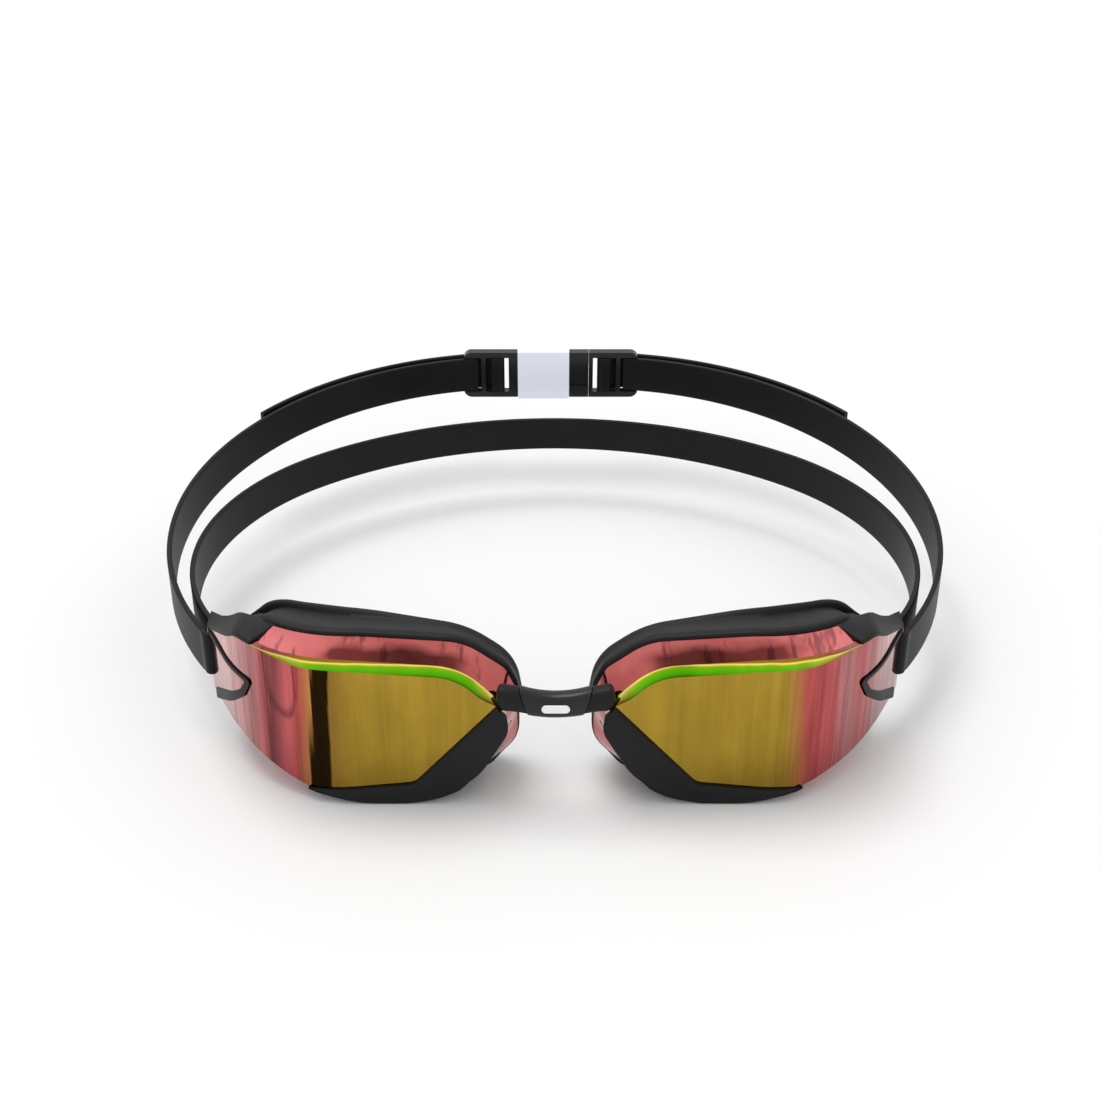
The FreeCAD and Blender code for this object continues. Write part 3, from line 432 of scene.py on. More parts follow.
def rubber(name, dark, light, rough, grain, depth):
    """Moulded elastomer: slight blotches of tone, fine pores and a soft sheen."""
    made = Nodes(name)
    blotch = made.noise(45.0, detail=3.0)
    pores = made.noise(grain, detail=5.0, roughness=0.62)
    colour = made.ramp(blotch, [(0.3, dark), (0.7, light)])
    colour = made.mix(made.math("MULTIPLY", pores, 0.18), colour, (0.0, 0.0, 0.0))
    sheen = made.spread(blotch, 0.0, 1.0, rough - 0.05, rough + 0.06)
    return made.finish(Base_Color=colour, Roughness=sheen, Normal=made.bump(pores, depth * MM),
                       Specular_IOR_Level=0.16)


def plastic(name, dark, light, rough, grain, depth, coat=0.0, painted_glow=0.0):
    """Moulded plastic with a fine spark texture. The glow setting is painted light: an emission that makes a
    part look brighter than the lamps light it.
    """
    made = Nodes(name)
    spark = made.noise(grain, detail=4.0, roughness=0.6)
    cloud = made.noise(30.0, detail=2.0)
    colour = made.ramp(cloud, [(0.3, dark), (0.7, light)])
    sheen = made.spread(spark, 0.0, 1.0, rough - 0.06, rough + 0.06)
    return made.finish(Base_Color=colour, Roughness=sheen, Normal=made.bump(spark, depth * MM),
                       Coat_Weight=coat, Coat_Roughness=0.12, Specular_IOR_Level=0.24,
                       Emission_Color=light, Emission_Strength=painted_glow)


GOLD = (0.36, 0.235, 0.030)
GOLD_WARM = (0.30, 0.165, 0.030)
AMBER = (0.43, 0.185, 0.055)
BROWN_REFLECTION = (0.016, 0.008, 0.002)
RED = (0.43, 0.080, 0.076)
ROSE = (0.46, 0.098, 0.105)
DUSK = (0.20, 0.050, 0.052)
DUSTY = (0.42, 0.185, 0.180)
PALE = (0.62, 0.300, 0.290)


# The left lens's ramp paints a reflection: the brown band from 0.262 to 0.345 is a painted dark reflection.
LEFT_STOPS = [
    (0.0, GOLD), (0.12, GOLD), (0.245, GOLD_WARM), (0.262, BROWN_REFLECTION), (0.345, BROWN_REFLECTION), (0.365, AMBER),
    (0.42, RED), (0.49, ROSE), (0.545, DUSK), (0.60, ROSE), (0.68, DUSTY), (0.80, PALE), (1.0, PALE),
]
RIGHT_STOPS = [
    (0.0, GOLD), (0.26, GOLD), (0.335, AMBER), (0.40, RED), (0.52, ROSE), (0.60, DUSTY), (0.68, ROSE),
    (0.78, DUSTY), (0.88, PALE), (1.0, PALE),
]
# Bevel ramps: the bright yellow stop near the top of each is a painted highlight line, and the dark last stop
# is a painted shade line where the bevel meets the top wall.
GREEN_STOPS = [
    (0.0, (0.05, 0.20, 0.003)), (0.12, (0.085, 0.40, 0.004)), (0.54, (0.13, 0.56, 0.008)),
    (0.66, (0.26, 0.44, 0.008)), (0.78, (0.60, 0.55, 0.015)), (0.87, (1.0, 0.95, 0.26)),
    (0.93, (0.78, 0.66, 0.08)), (1.0, (0.34, 0.18, 0.02)),
]
GOLD_STOPS = [
    (0.0, (0.10, 0.03, 0.012)), (0.3, (0.30, 0.24, 0.03)), (0.62, (0.62, 0.52, 0.05)),
    (0.85, (0.95, 0.85, 0.22)), (1.0, (0.34, 0.10, 0.03)),
]
DEEP_STOPS = [
    (0.0, (0.36, 0.065, 0.060)), (0.15, (0.54, 0.120, 0.115)), (0.26, (0.16, 0.030, 0.027)),
    (0.38, (0.085, 0.016, 0.014)), (0.55, (0.16, 0.028, 0.024)), (0.68, (0.22, 0.038, 0.036)),
    (0.76, (0.74, 0.170, 0.170)), (0.88, (0.92, 0.250, 0.255)), (1.0, (0.80, 0.20, 0.20)),
]
BRIGHT_STOPS = [
    (0.0, (0.40, 0.075, 0.070)), (0.16, (0.62, 0.16, 0.15)), (0.45, (0.50, 0.105, 0.10)),
    (1.0, (0.92, 0.25, 0.25)),
]
# Colour of the painted dark U-shaped reflection on the left lens.
DARK_LOOP_REFLECTION = (0.10, 0.026, 0.028)


def mirror_coating(side):
    """Metal-oxide mirror coat: gold in front, rose toward the temple, with painted reflections in its colour:
    fine upright streaks and blotches, darkening toward the bottom, and on the left lens a dark brown band and a
    dark U-shaped line.
    """
    made = Nodes("mirror_coating_" + side)
    split = made.add("ShaderNodeSeparateXYZ", {0: made.place})
    height = split.outputs[2]
    # The streak and blotch noises paint blurred reflections into the coat's colour.
    reflection_streaks = made.noise(1.0, detail=6.0, stretch=(520.0, 520.0, 12.0), roughness=0.68)
    reflection_blotches = made.noise(1.0, detail=4.0, stretch=(150.0, 150.0, 50.0))
    out = made.math("ABSOLUTE", split.outputs[0])
    lean = made.math("MULTIPLY", made.math("SUBTRACT", height, 0.02), 0.06)
    wobble = made.stray(reflection_streaks, 0.007)
    reach = made.math("ADD", made.math("ADD", out, wobble), lean)
    span = made.spread(reach, 0.040, 0.086)
    face = made.ramp(span, LEFT_STOPS if side == "left" else RIGHT_STOPS)
    painted_streak_tone = made.spread(reflection_streaks, 0.34, 0.62, 0.62, 1.12)
    temple = made.spread(out, 0.048, 0.060, 0.30, 1.0)
    painted_temple_streaks = made.math("ADD", made.math("MULTIPLY", made.math("SUBTRACT", painted_streak_tone, 1.0), temple), 1.0)
    # Painted reflection: a dark U-shaped line on the left lens, standing for a dark loop reflected in the coat.
    if side == "left":
        sideways = made.math("SUBTRACT", made.math("ADD", out, wobble), 0.0625)
        sideways = made.math("ABSOLUTE", made.math("DIVIDE", sideways, 0.0034))
        below = made.math("ABSOLUTE", made.math("DIVIDE", made.math("SUBTRACT", height, 0.036), 0.0135))
        ring = made.math("ADD", made.math("POWER", sideways, 2.0), made.math("POWER", below, 3.0))
        loop_reflection_line = made.math("ABSOLUTE", made.math("SUBTRACT", ring, 1.0))
        face = made.mix(made.spread(loop_reflection_line, 0.42, 0.08, 0.0, 0.62), face, DARK_LOOP_REFLECTION)
    # Painted shade: the coat darkens toward the bottom, where it reflects the shaded floor.
    tall = made.spread(height, 0.002, 0.034, 0.88, 1.05)
    painted_blotch_tone = made.spread(reflection_blotches, 0.3, 0.7, 0.88, 1.10)
    face = made.shade(face, made.math("MULTIPLY", made.math("MULTIPLY", tall, painted_blotch_tone), painted_temple_streaks))
    ripple = made.noise(1.0, detail=2.0, stretch=(90.0, 90.0, 20.0))
    ripple = made.bump(ripple, 0.05 * MM, 0.3)
    return made.finish(Base_Color=face, Metallic=1.0, Roughness=0.08, Normal=ripple)


def bevel_coating():
    """The brow bevel catches the coat edge-on: green below, gold toward the temple, with a painted highlight
    line near its upper edge and a painted dark shade line at the very top.
    """
    made = Nodes("bevel_coating")
    split = made.add("ShaderNodeSeparateXYZ", {0: made.place})
    out = made.math("ABSOLUTE", split.outputs[0])
    across = made.add("ShaderNodeAttribute", attribute_name="across").outputs["Fac"]
    cloud = made.noise(1.0, detail=3.0, stretch=(110.0, 30.0, 30.0))
    across = made.math("ADD", across, made.stray(cloud, 0.35))
    across = made.math("ADD", across, made.spread(out, 0.030, 0.052, -0.06, 0.26))
    green = made.ramp(across, GREEN_STOPS)
    gold = made.ramp(across, GOLD_STOPS)
    colour = made.mix(made.spread(out, 0.0555, 0.0635), green, gold)
    colour = made.mix(made.spread(out, 0.0190, 0.0150), colour, gold)
    colour = made.shade(colour, made.spread(cloud, 0.3, 0.7, 0.85, 1.12))
    ripple = made.bump(cloud, 0.04 * MM, 0.3)
    return made.finish(Base_Color=colour, Metallic=1.0, Roughness=0.07, Normal=ripple)


def wall_coating():
    """Side walls of the lens: rose, with a dark reflection over the brow and thin dark streaks."""
    made = Nodes("wall_coating")
    split = made.add("ShaderNodeSeparateXYZ", {0: made.place})
    cloud = made.noise(1.0, detail=2.0, stretch=(120.0, 120.0, 120.0))
    thin = made.noise(1.0, detail=3.0, stretch=(360.0, 60.0, 60.0))
    out = made.math("ABSOLUTE", split.outputs[0])
    span = made.spread(made.math("ADD", out, made.stray(cloud, 0.016)), 0.008, 0.072)
    deep = made.ramp(span, DEEP_STOPS)
    bright = made.ramp(span, BRIGHT_STOPS)
    across = made.add("ShaderNodeAttribute", attribute_name="across").outputs["Fac"]
    toward = made.math("ADD", across, made.stray(cloud, 0.6))
    colour = made.mix(made.spread(toward, 0.42, 0.80), deep, bright)
    colour = made.shade(colour, made.spread(thin, 0.34, 0.42, 0.50, 1.0))
    ripple = made.bump(thin, 0.03 * MM, 0.2)
    return made.finish(Base_Color=colour, Metallic=1.0, Roughness=0.10, Normal=ripple)


# Name, dark and light tone, roughness, grain (per metre) and depth of the grain (mm), then coat and glow, the
# glow being painted light.
MATERIALS = {
    "overmould": rubber("overmould_rubber", (0.0085, 0.0085, 0.0090), (0.0125, 0.0125, 0.0130),
                        0.46, 2600.0, 0.010),
    "gasket": rubber("gasket_rubber", (0.015, 0.015, 0.0155), (0.021, 0.021, 0.0215), 0.50, 2200.0, 0.012),
    "strap": rubber("strap_silicone", (0.0065, 0.0065, 0.0070), (0.0100, 0.0100, 0.0105),
                    0.46, 1800.0, 0.008),
    "bridge": plastic("bridge_plastic", (0.008, 0.008, 0.009), (0.012, 0.012, 0.013),
                      0.32, 3000.0, 0.004, coat=0.15),
    "badge": plastic("badge_white", (0.84, 0.85, 0.86), (0.90, 0.90, 0.91), 0.30, 2500.0, 0.003),
    "clip": plastic("clip_plastic", (0.012, 0.012, 0.0125), (0.017, 0.017, 0.0175),
                    0.30, 2800.0, 0.006, coat=0.12),
    # The sleeve's glow is painted light: emission that brightens its front faces.
    "sleeve": plastic("sleeve_plastic", (0.84, 0.87, 0.99), (0.87, 0.895, 1.0),
                      0.36, 2500.0, 0.003, painted_glow=0.12),
    "bevel": bevel_coating(),
    "wall": wall_coating(),
}
COATINGS = {side: mirror_coating(side) for side, _ in SIDES}


def dress(node, material, rounding=0.0):
    """Gives a CAD node its material and softly rounded edges."""
    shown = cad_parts[node]
    shown.data.materials.clear()
    shown.data.materials.append(material)
    if rounding:
        soften(shown, rounding)


# ------------------------------------------------------------ pods
def even_angles(corners, count):
    """Directions from the pod's centre to evenly spaced points of an outline."""
    reach = resample(rounded_line(corners, closed=True), count, closed=True) - POD_CENTRE
    return np.arctan2(reach[:, 1], reach[:, 0])


CUP_ANGLES = even_angles(CUP, 420)
CUP_LINE = around(resample(rounded_line(CUP, closed=True), 1400, closed=True), CUP_ANGLES)
CUP_BACK_LINE = around(resample(rounded_line(CUP_BACK, closed=True), 1400, closed=True), CUP_ANGLES)


def cup_ring(out, depth):
    """Ring round the cup, whose nose side leans toward the bridge as it goes back."""
    share = min(max((depth - BEVEL) / (LENS_DEPTH - BEVEL), 0), 1)
    return at_depth(grown(CUP_LINE * (1 - share) + CUP_BACK_LINE * share, out), depth)


def frame_proud():
    """How far the frame stands out of the cup, less on the nose side."""
    nose = smooth((16.0 - CUP_BACK_LINE[:, 0]) / 4.0) * smooth((27.0 - CUP_BACK_LINE[:, 1]) / 4.0)
    return FRAME_PROUD - NOSE_THINNER * nose


def lens_front():
    """Front plate out to the end of the arm, bevelled along the brow, with each face's zone and each
    point's share across the bevel."""
    outline = resample(rounded_line(LENS_FRONT, closed=True), 460, closed=True)
    up = smooth((outward(outline)[:, 1] - 0.25) / 0.35)
    taper = smooth((68.6 - outline[:, 0]) / 11.0) * smooth((outline[:, 0] - 10.5) / 6.0)
    bevel = EDGE_BEVEL + (BEVEL - EDGE_BEVEL) * up * taper
    inner = grown(outline, -bevel)
    made = Shape()
    rings = []
    for share in np.linspace(0.03, 1, 30):
        rings.append(at_depth(POD_CENTRE + (inner - POD_CENTRE) * share, 0.0))
    front = len(rings)
    for share in BEVEL_STEPS[1:]:
        soft = 0.5 - 0.5 * math.cos(math.pi * share)
        blend = 0.75 * share + 0.25 * soft
        flat = inner * (1 - share) + outline * share
        y = FRONT_Y + plan_depth(flat[:, 0]) + bevel * blend
        rings.append(np.stack([flat[:, 0], y, flat[:, 1]], axis=1))
    edge = len(rings)
    rings.append(on_plate(outline, LENS_THICK))
    for share in BACK_SHARES:
        rings.append(on_plate(POD_CENTRE + (outline - POD_CENTRE) * share, LENS_THICK))
    made.loft([list(ring) for ring in rings])
    count = len(outline)
    zones = []
    across = []
    for index in range(len(rings) - 1):
        zones += [1 if front - 1 <= index < edge - 1 else 0] * count
    for index in range(len(rings)):
        step = min(index - front + 1, len(BEVEL_STEPS) - 1)
        across += [0.0 if index < front else BEVEL_STEPS[step]] * count
    return made, zones, across


def lens_wall():
    """Side wall of the cup, from behind the bevel to the frame."""
    made = Shape()
    rings = [cup_ring(0.0, depth) for depth, _ in WALL_OUTSIDE]
    rings += [cup_ring(-WALL_THICK, depth) for depth, _ in WALL_INSIDE]
    made.loft([list(ring) for ring in rings], path_closed=True)
    across = []
    for _, share in WALL_OUTSIDE + WALL_INSIDE:
        across += [share] * len(CUP_LINE)
    return made, across


def make_lenses():
    front, zones, across = lens_front()
    wall, depths = lens_wall()
    for side, sign in SIDES:
        plate = front if sign > 0 else front.mirrored()
        plate = plate.piece(side + "_lens_front", COATINGS[side], "lens", 28)
        plate.data.materials.append(MATERIALS["bevel"])
        caps = [0] * (len(plate.data.polygons) - len(zones))
        plate.data.polygons.foreach_set("material_index", zones + caps)
        plate.data.attributes.new("across", "FLOAT", "POINT").data.foreach_set("value", across)
        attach(plate, "pods")
        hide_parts(side + "_lens")
        ring = wall if sign > 0 else wall.mirrored()
        ring = ring.piece(side + "_lens_wall", MATERIALS["wall"], "lens", 50)
        ring.data.attributes.new("across", "FLOAT", "POINT").data.foreach_set("value", depths)
        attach(ring, "pods")


def gasket_shape():
    """Soft cup: a wall that draws in behind the frame, then flares to a rounded lip against the face."""
    dense_rim = resample(rounded_line(RIM, closed=True), 1400, closed=True)
    wall_out = grown(CUP_BACK_LINE, frame_proud() - 0.12)
    wall_in = grown(CUP_BACK_LINE, -1.8)
    lip = around(dense_rim, CUP_ANGLES)
    toward = POD_CENTRE - lip
    toward /= np.linalg.norm(toward, axis=1)[:, None]
    temple = smooth((lip[:, 0] - 25.0) / 42.0)[:, None]
    neck = 0.35 + 1.5 * temple
    start = plan_depth(wall_out[:, 0]) + FRAME_BACK - 0.5
    back = rim_depth(lip[:, 0])

    def ring(flat, depth):
        return np.stack([flat[:, 0], FRONT_Y + depth, flat[:, 1]], axis=1)

    rings = []
    for share in np.linspace(0, 1, 11):
        waist = toward * 0.5 * math.sin(math.pi * share)
        flat = wall_out * (1 - share) + (lip + toward * neck) * share + waist
        rings.append(ring(flat, start + (back - LIP_START - start) * share))
    for inward, forward in LIP_FLARE:
        rings.append(ring(lip + toward * neck * inward, back - forward))
    for inward, forward in LIP_OUTER + LIP_INNER:
        rings.append(ring(lip + toward * inward, back - forward))
    inner = lip + toward * LIP_WIDTH
    for share in np.linspace(0.12, 1, 8):
        flat = inner * (1 - smooth(share)) + wall_in * smooth(share)
        rings.append(ring(flat, (back - LIP_BACK) * (1 - share) + start * share))
    made = Shape()
    made.loft([list(r) for r in rings], path_closed=True)
    return made


def stretch_of(wanted):
    """Indices of the one run of the cup's points that are wanted, in order."""
    count = len(wanted)
    start = next(k for k in range(count) if wanted[k] and not wanted[k - 1])
    run = []
    while wanted[(start + len(run)) % count] and len(run) < count:
        run.append((start + len(run)) % count)
    return run


def strip(shape, wanted, section, reach=1.0):
    """A section (outward, depth) carried along the wanted stretch of the cup, as far outward as its reach."""
    run = stretch_of(wanted)
    rings = [cup_ring(0.04 + (out - 0.04) * reach, depth)[run] for out, depth in section]
    shape.loft([[ring[k] for ring in rings] for k in range(len(run))])


def frame_ring(shape):
    """Ring behind the lens: a flat back, a rounded edge and an inner face just inside the cup's wall."""
    proud = frame_proud()
    rings = [list(cup_ring(-FRAME_INSET, RING_SECTION[0][1]))]
    for reach, depth in RING_SECTION:
        rings.append(list(cup_ring(proud * reach, depth)))
    rings.append(list(cup_ring(-FRAME_INSET, FRAME_BACK)))
    shape.loft(rings, path_closed=True)


def frame_chin(shape):
    """Plate over the lens's lower nose corner, one millimetre proud, with rounded edges."""
    upper = resample(rounded_line(CHIN_UPPER, closed=False), 110, closed=False)
    lower = resample(rounded_line(CHIN_LOWER, closed=False), 110, closed=False)
    stations = []
    for high, low in zip(upper, lower):
        width = np.linalg.norm(low - high)
        across = (low - high) / width
        small = min(1.0, width / CHIN_ROUND)
        edge = [(out * small, depth * (0.35 + 0.65 * small)) for out, depth in CHIN_EDGE]
        inside = [(width * share, edge[-1][1]) for share in CHIN_FLAT]
        far = [(width - out, depth) for out, depth in reversed(edge)]
        flat = np.array([high + across * out for out, _ in edge + inside + far])
        depth = np.array([d for _, d in edge + inside + far])
        stations.append(list(at_depth(flat, depth)))
    shape.loft(stations)


def frame_roof(shape):
    """Flat ledge over the temple arm. Its front edge runs back to the ring beside the brow."""
    edge = resample(rounded_line(ROOF_EDGE, closed=False), 60, closed=False)
    stations = []
    for x, z in edge:
        front = ROOF_FRONT * min(max((69.8 - x) / 4.6, 0.0), 1.0) - 0.2
        back = ROOF_BACK - ROOF_NARROWS * min(max((x - 67.0) / 13.0, 0.0), 1.0)
        section = [(front + depth, up) for depth, up in ROOF_PROUD]
        section += [(back + depth, up) for depth, up in ROOF_DEEP]
        section.append((max(front + 0.6, back - 4.0), ROOF_DEEP[-1][1]))
        flat = np.array([(x, z + up) for _, up in section])
        stations.append(list(at_depth(flat, np.array([depth for depth, _ in section]))))
    shape.loft(stations)


def frame_shape():
    """Overmoulded frame: ring, chin plate and skirt, temple roof and the web behind the arm."""
    made = Shape()
    frame_ring(made)
    frame_chin(made)
    x = CUP_LINE[:, 0]
    z = CUP_LINE[:, 1]
    reach = smooth((SKIRT_TEMPLE + 0.5 - x) / 15.0) * smooth((x - SKIRT_NOSE) / 5.0)
    strip(made, (z < SKIRT_TOP) & (x > SKIRT_NOSE) & (x < SKIRT_TEMPLE), SKIRT_SECTION, reach)
    low, high = TEMPLE_WEB_HEIGHTS
    strip(made, (x > TEMPLE_WEB_START) & (z > low) & (z < high), TEMPLE_WEB)
    frame_roof(made)
    return made


def make_pods():
    gasket = gasket_shape()
    overmould = frame_shape()
    for side, sign in SIDES:
        dress(side + "_temple_trim", MATERIALS["overmould"], 0.12)
        cup = gasket if sign > 0 else gasket.mirrored()
        cup = cup.piece(side + "_soft_gasket", MATERIALS["gasket"], "gasket", 60)
        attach(cup, "pods")
        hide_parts(side + "_gasket")
        skin = overmould if sign > 0 else overmould.mirrored()
        skin = skin.piece(side + "_frame_overmould", MATERIALS["overmould"], "overmould", 40)
        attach(skin, "pods")
        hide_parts(side + "_frame")
        socket = Shape()
        bridge_end(socket, END_SPLIT + 0.05, WIDE)
        socket = socket if sign > 0 else socket.mirrored()
        socket = socket.piece(side + "_bridge_socket", MATERIALS["overmould"], "overmould", 40)
        soften(socket, 0.12, 2, 40)
        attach(socket, "pods")


# ------------------------------------------------------------ nose bridge
def squircle(turn, deep, tall):
    """Point of a rounded-square section at an angle."""
    power = 2 / 2.7
    return (deep * math.copysign(abs(math.cos(turn)) ** power, math.cos(turn)),
            tall * math.copysign(abs(math.sin(turn)) ** power, math.sin(turn)))


def bridge_bar(shape):
    """Middle of the bridge: a bar on an arc, cut slanting at both ends."""
    middle = (BRIDGE_TOP + BRIDGE_LOW) / 2
    half_tall = (BRIDGE_LOW - BRIDGE_TOP) / 2
    stations = []
    for share in np.linspace(-1, 1, 37):
        ring = []
        for turn in np.linspace(0, 2 * math.pi, 44, endpoint=False):
            deep, tall = squircle(turn, BRIDGE_DEPTH / 2, half_tall)
            radius = middle - tall
            half = SEAM_TOP + (SEAM_LOW - SEAM_TOP) * (half_tall - tall) / (2 * half_tall)
            angle = math.asin(half / radius) * share
            z = BRIDGE_CENTRE_Z - radius * math.cos(angle)
            ring.append((radius * math.sin(angle), BRIDGE_Y + deep, z))
        stations.append(ring)
    shape.loft(stations)


def bridge_end(shape, deep_from, deep_to):
    """Rubber end of the bridge, from the slanted seam to a rounded tip, between two depths."""
    middle = (BRIDGE_TOP + BRIDGE_LOW) / 2
    half_tall = (BRIDGE_LOW - BRIDGE_TOP) / 2
    start = (SEAM_TOP + SEAM_LOW) / 2
    start_z = BRIDGE_CENTRE_Z - math.sqrt(middle ** 2 - start ** 2)
    stations = []
    for share in np.linspace(0, 1, 22):
        along = SEAM_GAP + END_LENGTH * share
        left = END_LENGTH - END_LENGTH * share
        draw = max(0.15, math.sqrt(1 - max(0.0, 1 - left / END_ROUND) ** 2))
        lift = END_RISE * (along - along ** 2 / (2 * END_LENGTH))
        ring = []
        for turn in np.linspace(0, 2 * math.pi, 44, endpoint=False):
            deep, tall = squircle(turn, BRIDGE_DEPTH / 2 * draw, half_tall * draw)
            slant = (SEAM_TOP - start) * tall / half_tall * (1 - share)
            y = BRIDGE_Y + min(max(deep, deep_from), deep_to)
            ring.append((start + along + slant, y, start_z + lift + tall))
        stations.append(ring)
    shape.loft(stations)


def make_bridge():
    shell = Shape()
    bridge_bar(shell)
    bar = shell.piece("bridge_bar", MATERIALS["bridge"], "bridge", 50)
    soften(bar, 0.18, 2, 50)
    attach(bar, "nose_bridge")
    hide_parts("bridge_shell")
    for side, sign in SIDES:
        cap = Shape()
        bridge_end(cap, -WIDE, END_SPLIT)
        cap = cap if sign > 0 else cap.mirrored()
        cap = cap.piece(side + "_bridge_end", MATERIALS["overmould"], "overmould", 40)
        soften(cap, 0.12, 2, 40)
        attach(cap, "nose_bridge")
        if sign > 0:
            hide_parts("bridge_core")
    dress("bridge_badge", MATERIALS["badge"], 0.08)


# ------------------------------------------------------------ strap
def arc_line(start, heading, arcs):
    """Points and outward directions along a chain of right-turning arcs, all angles in degrees."""
    point = np.array(start, float)
    angle = math.radians(heading)
    points = []
    outs = []
    for radius, sweep in arcs:
        sweep = math.radians(sweep)
        centre = point + radius * np.array([math.sin(angle), -math.cos(angle)])
        steps = max(2, round(math.degrees(sweep) / STEP))
        for turn in np.linspace(0, sweep, steps + 1)[0 if not points else 1:]:
            out = -np.array([math.sin(angle - turn), -math.cos(angle - turn)])
            points.append(centre + out * radius)
            outs.append(out)
        point = points[-1]
        angle -= sweep
    return points, outs


def width_and_height(y, back):
    """Middle height and width of a strap loop at a place between the anchor and its back."""
    share = (y - ANCHOR_Y) / (back[0] - ANCHOR_Y)
    return ANCHOR_Z + (back[1] - ANCHOR_Z) * share, ANCHOR_WIDTH + (back[2] - ANCHOR_WIDTH) * share


def band_ring(point, out, middle, width, thick):
    """Cross-section of the strap: flat faces and rounded edges."""
    flat = thick / 2 - STRAP_CORNER
    tall = width / 2 - STRAP_CORNER
    ring = []
    for quarter, (across, up) in enumerate(((flat, tall), (-flat, tall), (-flat, -tall), (flat, -tall))):
        for turn in (0, 30, 60, 90):
            angle = math.radians(90 * quarter + turn)
            ring.append((across + STRAP_CORNER * math.cos(angle), up + STRAP_CORNER * math.sin(angle)))
        if quarter in (1, 3):
            side = 1 if quarter == 3 else -1
            shoulder = side * (tall - STRAP_SHOULDER)
            ring += [(side * thick / 2, -shoulder), (side * thick / 2, shoulder)]
    return [(point[0] + out[0] * a, FRONT_Y + point[1] + out[1] * a, middle + u) for a, u in ring]


def band(points, outs, back, thick):
    shape = Shape()
    stations = []
    for point, out in zip(points, outs):
        middle, width = width_and_height(point[1], back)
        stations.append(band_ring(point, out, middle, width, thick))
    shape.loft(stations)
    return shape


def make_lower_strap():
    points, outs = arc_line((0.0, LOWER_BACK[0]), 0.0, LOWER_ARCS)
    left = [(np.array([-p[0], p[1]]), np.array([-o[0], o[1]])) for p, o in zip(points[1:], outs[1:])]
    whole = left[::-1] + list(zip(points, outs))
    strap = band([p for p, _ in whole], [o for _, o in whole], LOWER_BACK, STRAP_THICK)
    strap = strap.piece("lower_strap_band", MATERIALS["strap"], "strap", 40)
    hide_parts("lower_strap")
    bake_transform(strap)


def upper_line(extra):
    """The upper loop from the rear lock to the anchor, beginning extra millimetres further out."""
    first = UPPER_FIRST + math.degrees(math.asin(extra / UPPER_RADIUS))
    start = (UPPER_CENTRE[0] + UPPER_RADIUS * math.sin(math.radians(first)),
             UPPER_CENTRE[1] + UPPER_RADIUS * math.cos(math.radians(first)))
    return arc_line(start, -first, [(UPPER_RADIUS, UPPER_BACK_LAST - first)] + UPPER_ARCS)


def make_upper_straps():
    points, outs = upper_line(0.0)
    split = next(k for k, point in enumerate(points) if FRONT_Y + point[1] < 0)
    rear = band(points[:split + 1], outs[:split + 1], UPPER_BACK, STRAP_THICK)
    rear = rear.piece("right_upper_strap_rear", MATERIALS["strap"], "strap", 40)
    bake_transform(rear)
    fore = band(points[split:], outs[split:], UPPER_BACK, STRAP_THICK)
    fore = fore.piece("right_upper_strap_front", MATERIALS["strap"], "strap", 40)
    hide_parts("right_upper_strap")
    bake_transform(fore)
    points, outs = upper_line(LOCK_SHIFT)
    left = band(points, outs, UPPER_BACK, STRAP_THICK).mirrored()
    left = left.piece("left_upper_strap_band", MATERIALS["strap"], "strap", 40)
    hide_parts("left_upper_strap")
    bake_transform(left)


def make_folds():
    """The strap's turn through the temple slot and round the arm's end bar."""
    forward = np.array([math.cos(PLAN_SWEEP), math.sin(PLAN_SWEEP)])
    away = np.array([math.sin(PLAN_SWEEP), -math.cos(PLAN_SWEEP)])
    foot = np.array([PLAN_FLAT, PLAN_RADIUS]) + away * PLAN_RADIUS
    line = resample(rounded_line(FOLD_LINE, closed=False), 46, closed=False)
    points = [foot + forward * along + away * out for along, out in line]
    shape = Shape()
    stations = []
    for k, point in enumerate(points):
        step = points[min(k + 1, len(points) - 1)] - points[max(k - 1, 0)]
        step /= np.linalg.norm(step)
        stations.append(band_ring(point, np.array([-step[1], step[0]]), FOLD_MIDDLE, FOLD_WIDTH, STRAP_THICK))
    shape.loft(stations)
    for side, sign in SIDES:
        fold = shape if sign > 0 else shape.mirrored()
        fold = fold.piece(side + "_strap_loop", MATERIALS["strap"], "strap", 40)
        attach(fold, "pods")
        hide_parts(side + "_strap_fold")


def tail_shape(extra):
    """Turn round the lock's main bar, a ramp behind its other bars, and the free end along the band."""
    lock = LOCK_START + extra
    turn = TURN_CLEAR + TAIL_THICK / 2
    bar = lock + LOCK_BAR
    line = [(bar + TURN_LEG, LOCK_DEPTH - turn)]
    for angle in np.radians(np.linspace(-90, -270, 13)):
        line.append((bar + turn * math.cos(angle), LOCK_DEPTH + turn * math.sin(angle)))
    line.append((bar + TURN_LEG, LOCK_DEPTH + turn))
    first = TAIL_FIRST + math.degrees(math.asin(extra / TAIL_RADIUS)) + TAIL_LEAVES
    for angle in np.radians(np.arange(first, TAIL_LAST, STEP)):
        line.append((UPPER_CENTRE[0] + TAIL_RADIUS * math.sin(angle),
                     UPPER_CENTRE[1] + TAIL_RADIUS * math.cos(angle)))
    points = np.array(line)
    shape = Shape()
    stations = []
    last = len(points) - 1
    for k, point in enumerate(points):
        step = points[min(k + 1, last)] - points[max(k - 1, 0)]
        step /= np.linalg.norm(step)
        mid, width = width_and_height(point[1], UPPER_BACK)
        width += TAIL_WIDER * float(smooth((lock + LOCK_LENGTH - point[0]) / 3.0))
        stations.append(band_ring(point, np.array([-step[1], step[0]]), mid, width, TAIL_THICK))
    shape.loft(stations)
    return shape


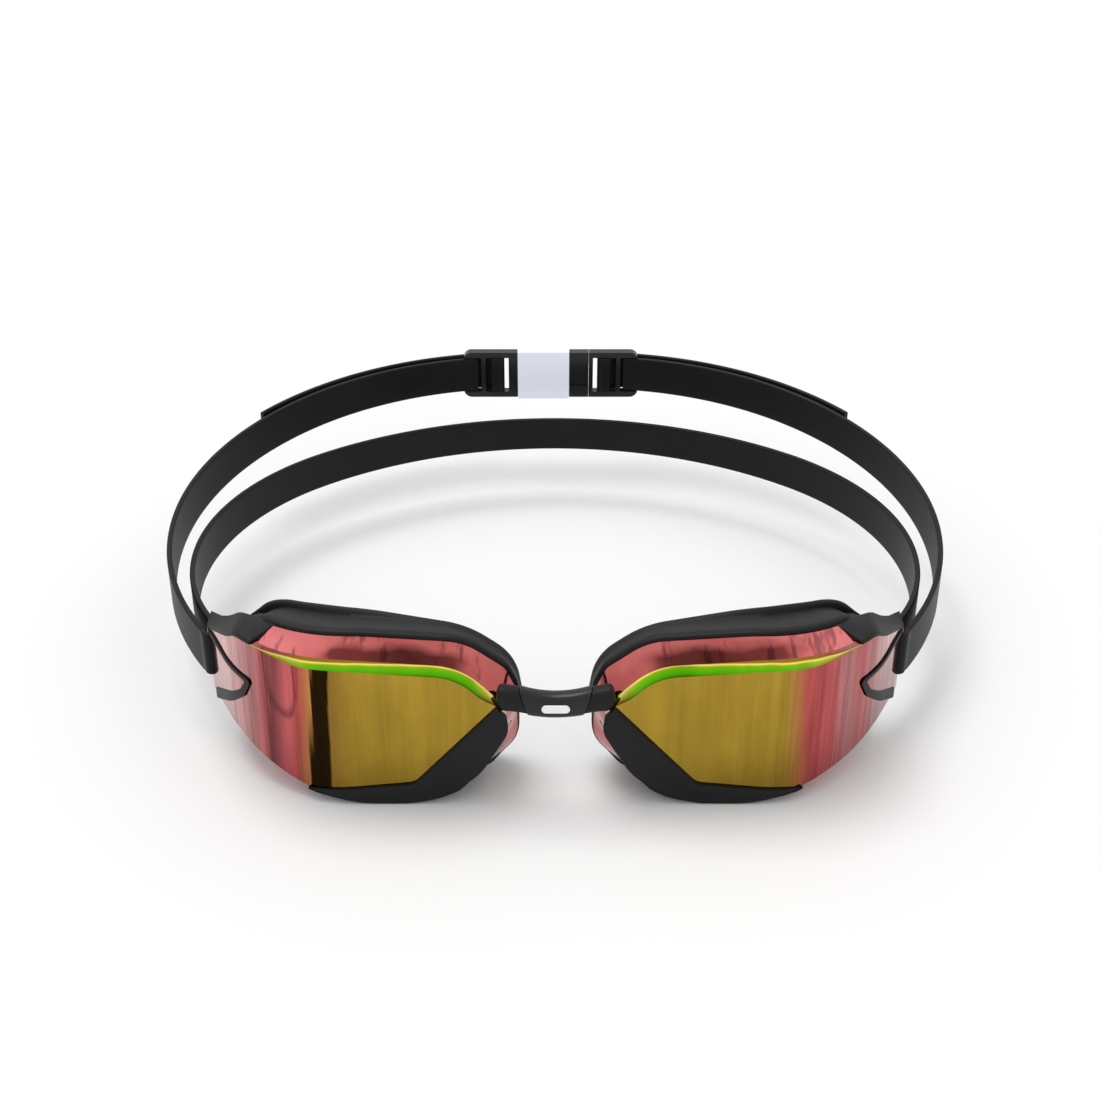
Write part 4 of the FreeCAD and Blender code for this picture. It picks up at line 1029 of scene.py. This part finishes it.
def make_tails():
    locks = {"right": (0.0, "clip_plug"), "left": (LOCK_SHIFT, "upper_strap")}
    for side, sign in SIDES:
        extra, lock_body = locks[side]
        shape = tail_shape(extra)
        shape = shape if sign > 0 else shape.mirrored()
        tail = shape.piece(side + "_tail_band", MATERIALS["strap"], "strap", 40)
        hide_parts(side + "_strap_tail")
        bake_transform(tail)


# ------------------------------------------------------------ rear clip
def make_clip():
    dress("clip_socket", MATERIALS["clip"], 0.28)
    dress("clip_plug", MATERIALS["clip"], 0.28)
    dress("clip_tongue", MATERIALS["clip"], 0.12)
    dress("clip_sleeve", MATERIALS["sleeve"], 0.35)


# ------------------------------------------------------------ floor and light
def make_floor():
    made = Nodes("floor_white")
    grain = made.noise(6.0, detail=2.0)
    colour = made.ramp(grain, [(0.3, (0.80, 0.80, 0.80)), (0.7, (0.815, 0.815, 0.815))])
    material = made.finish(Base_Color=colour, Roughness=0.9, Specular_IOR_Level=0.1)
    half = 25.0
    mesh = bpy.data.meshes.new("floor")
    corners = [(-half, -half, 0), (half, -half, 0), (half, half, 0), (-half, half, 0)]
    mesh.from_pydata(corners, [], [(0, 1, 2, 3)])
    mesh.materials.append(material)
    floor = bpy.data.objects.new("floor", mesh)
    bpy.context.scene.collection.objects.link(floor)


def soft_sun(name, toward, strength, spread_angle):
    light = bpy.data.lights.new(name, "SUN")
    light.energy = strength
    light.angle = math.radians(spread_angle)
    lamp = bpy.data.objects.new(name, light)
    lamp.location = toward
    lamp.rotation_euler = Vector(toward).to_track_quat("Z", "Y").to_euler()
    bpy.context.scene.collection.objects.link(lamp)


def make_studio():
    world = bpy.data.worlds.new("studio")
    world.use_nodes = True
    backdrop = world.node_tree.nodes["Background"]
    backdrop.inputs["Color"].default_value = (1.0, 1.0, 1.0, 1.0)
    backdrop.inputs["Strength"].default_value = 0.88
    bpy.context.scene.world = world
    soft_sun("key", (-0.20, 0.26, 0.95), 1.35, 34.0)
    bpy.context.scene.view_settings.view_transform = "Standard"


def make_camera():
    camera = bpy.data.cameras.new("camera")
    camera.lens = 54.0
    camera.sensor_width = 36.0
    camera.clip_start = 0.01
    shown = bpy.data.objects.new("camera", camera)
    shown.location = (-0.0013, -0.395, 0.2445)
    shown.rotation_euler = (math.radians(60.0), 0.0, 0.0)
    bpy.context.scene.collection.objects.link(shown)
    bpy.context.scene.camera = shown


make_camera()
make_floor()
make_studio()
make_lenses()
make_pods()
make_bridge()
make_lower_strap()
make_upper_straps()
make_folds()
make_tails()
make_clip()

bpy.context.view_layer.update()
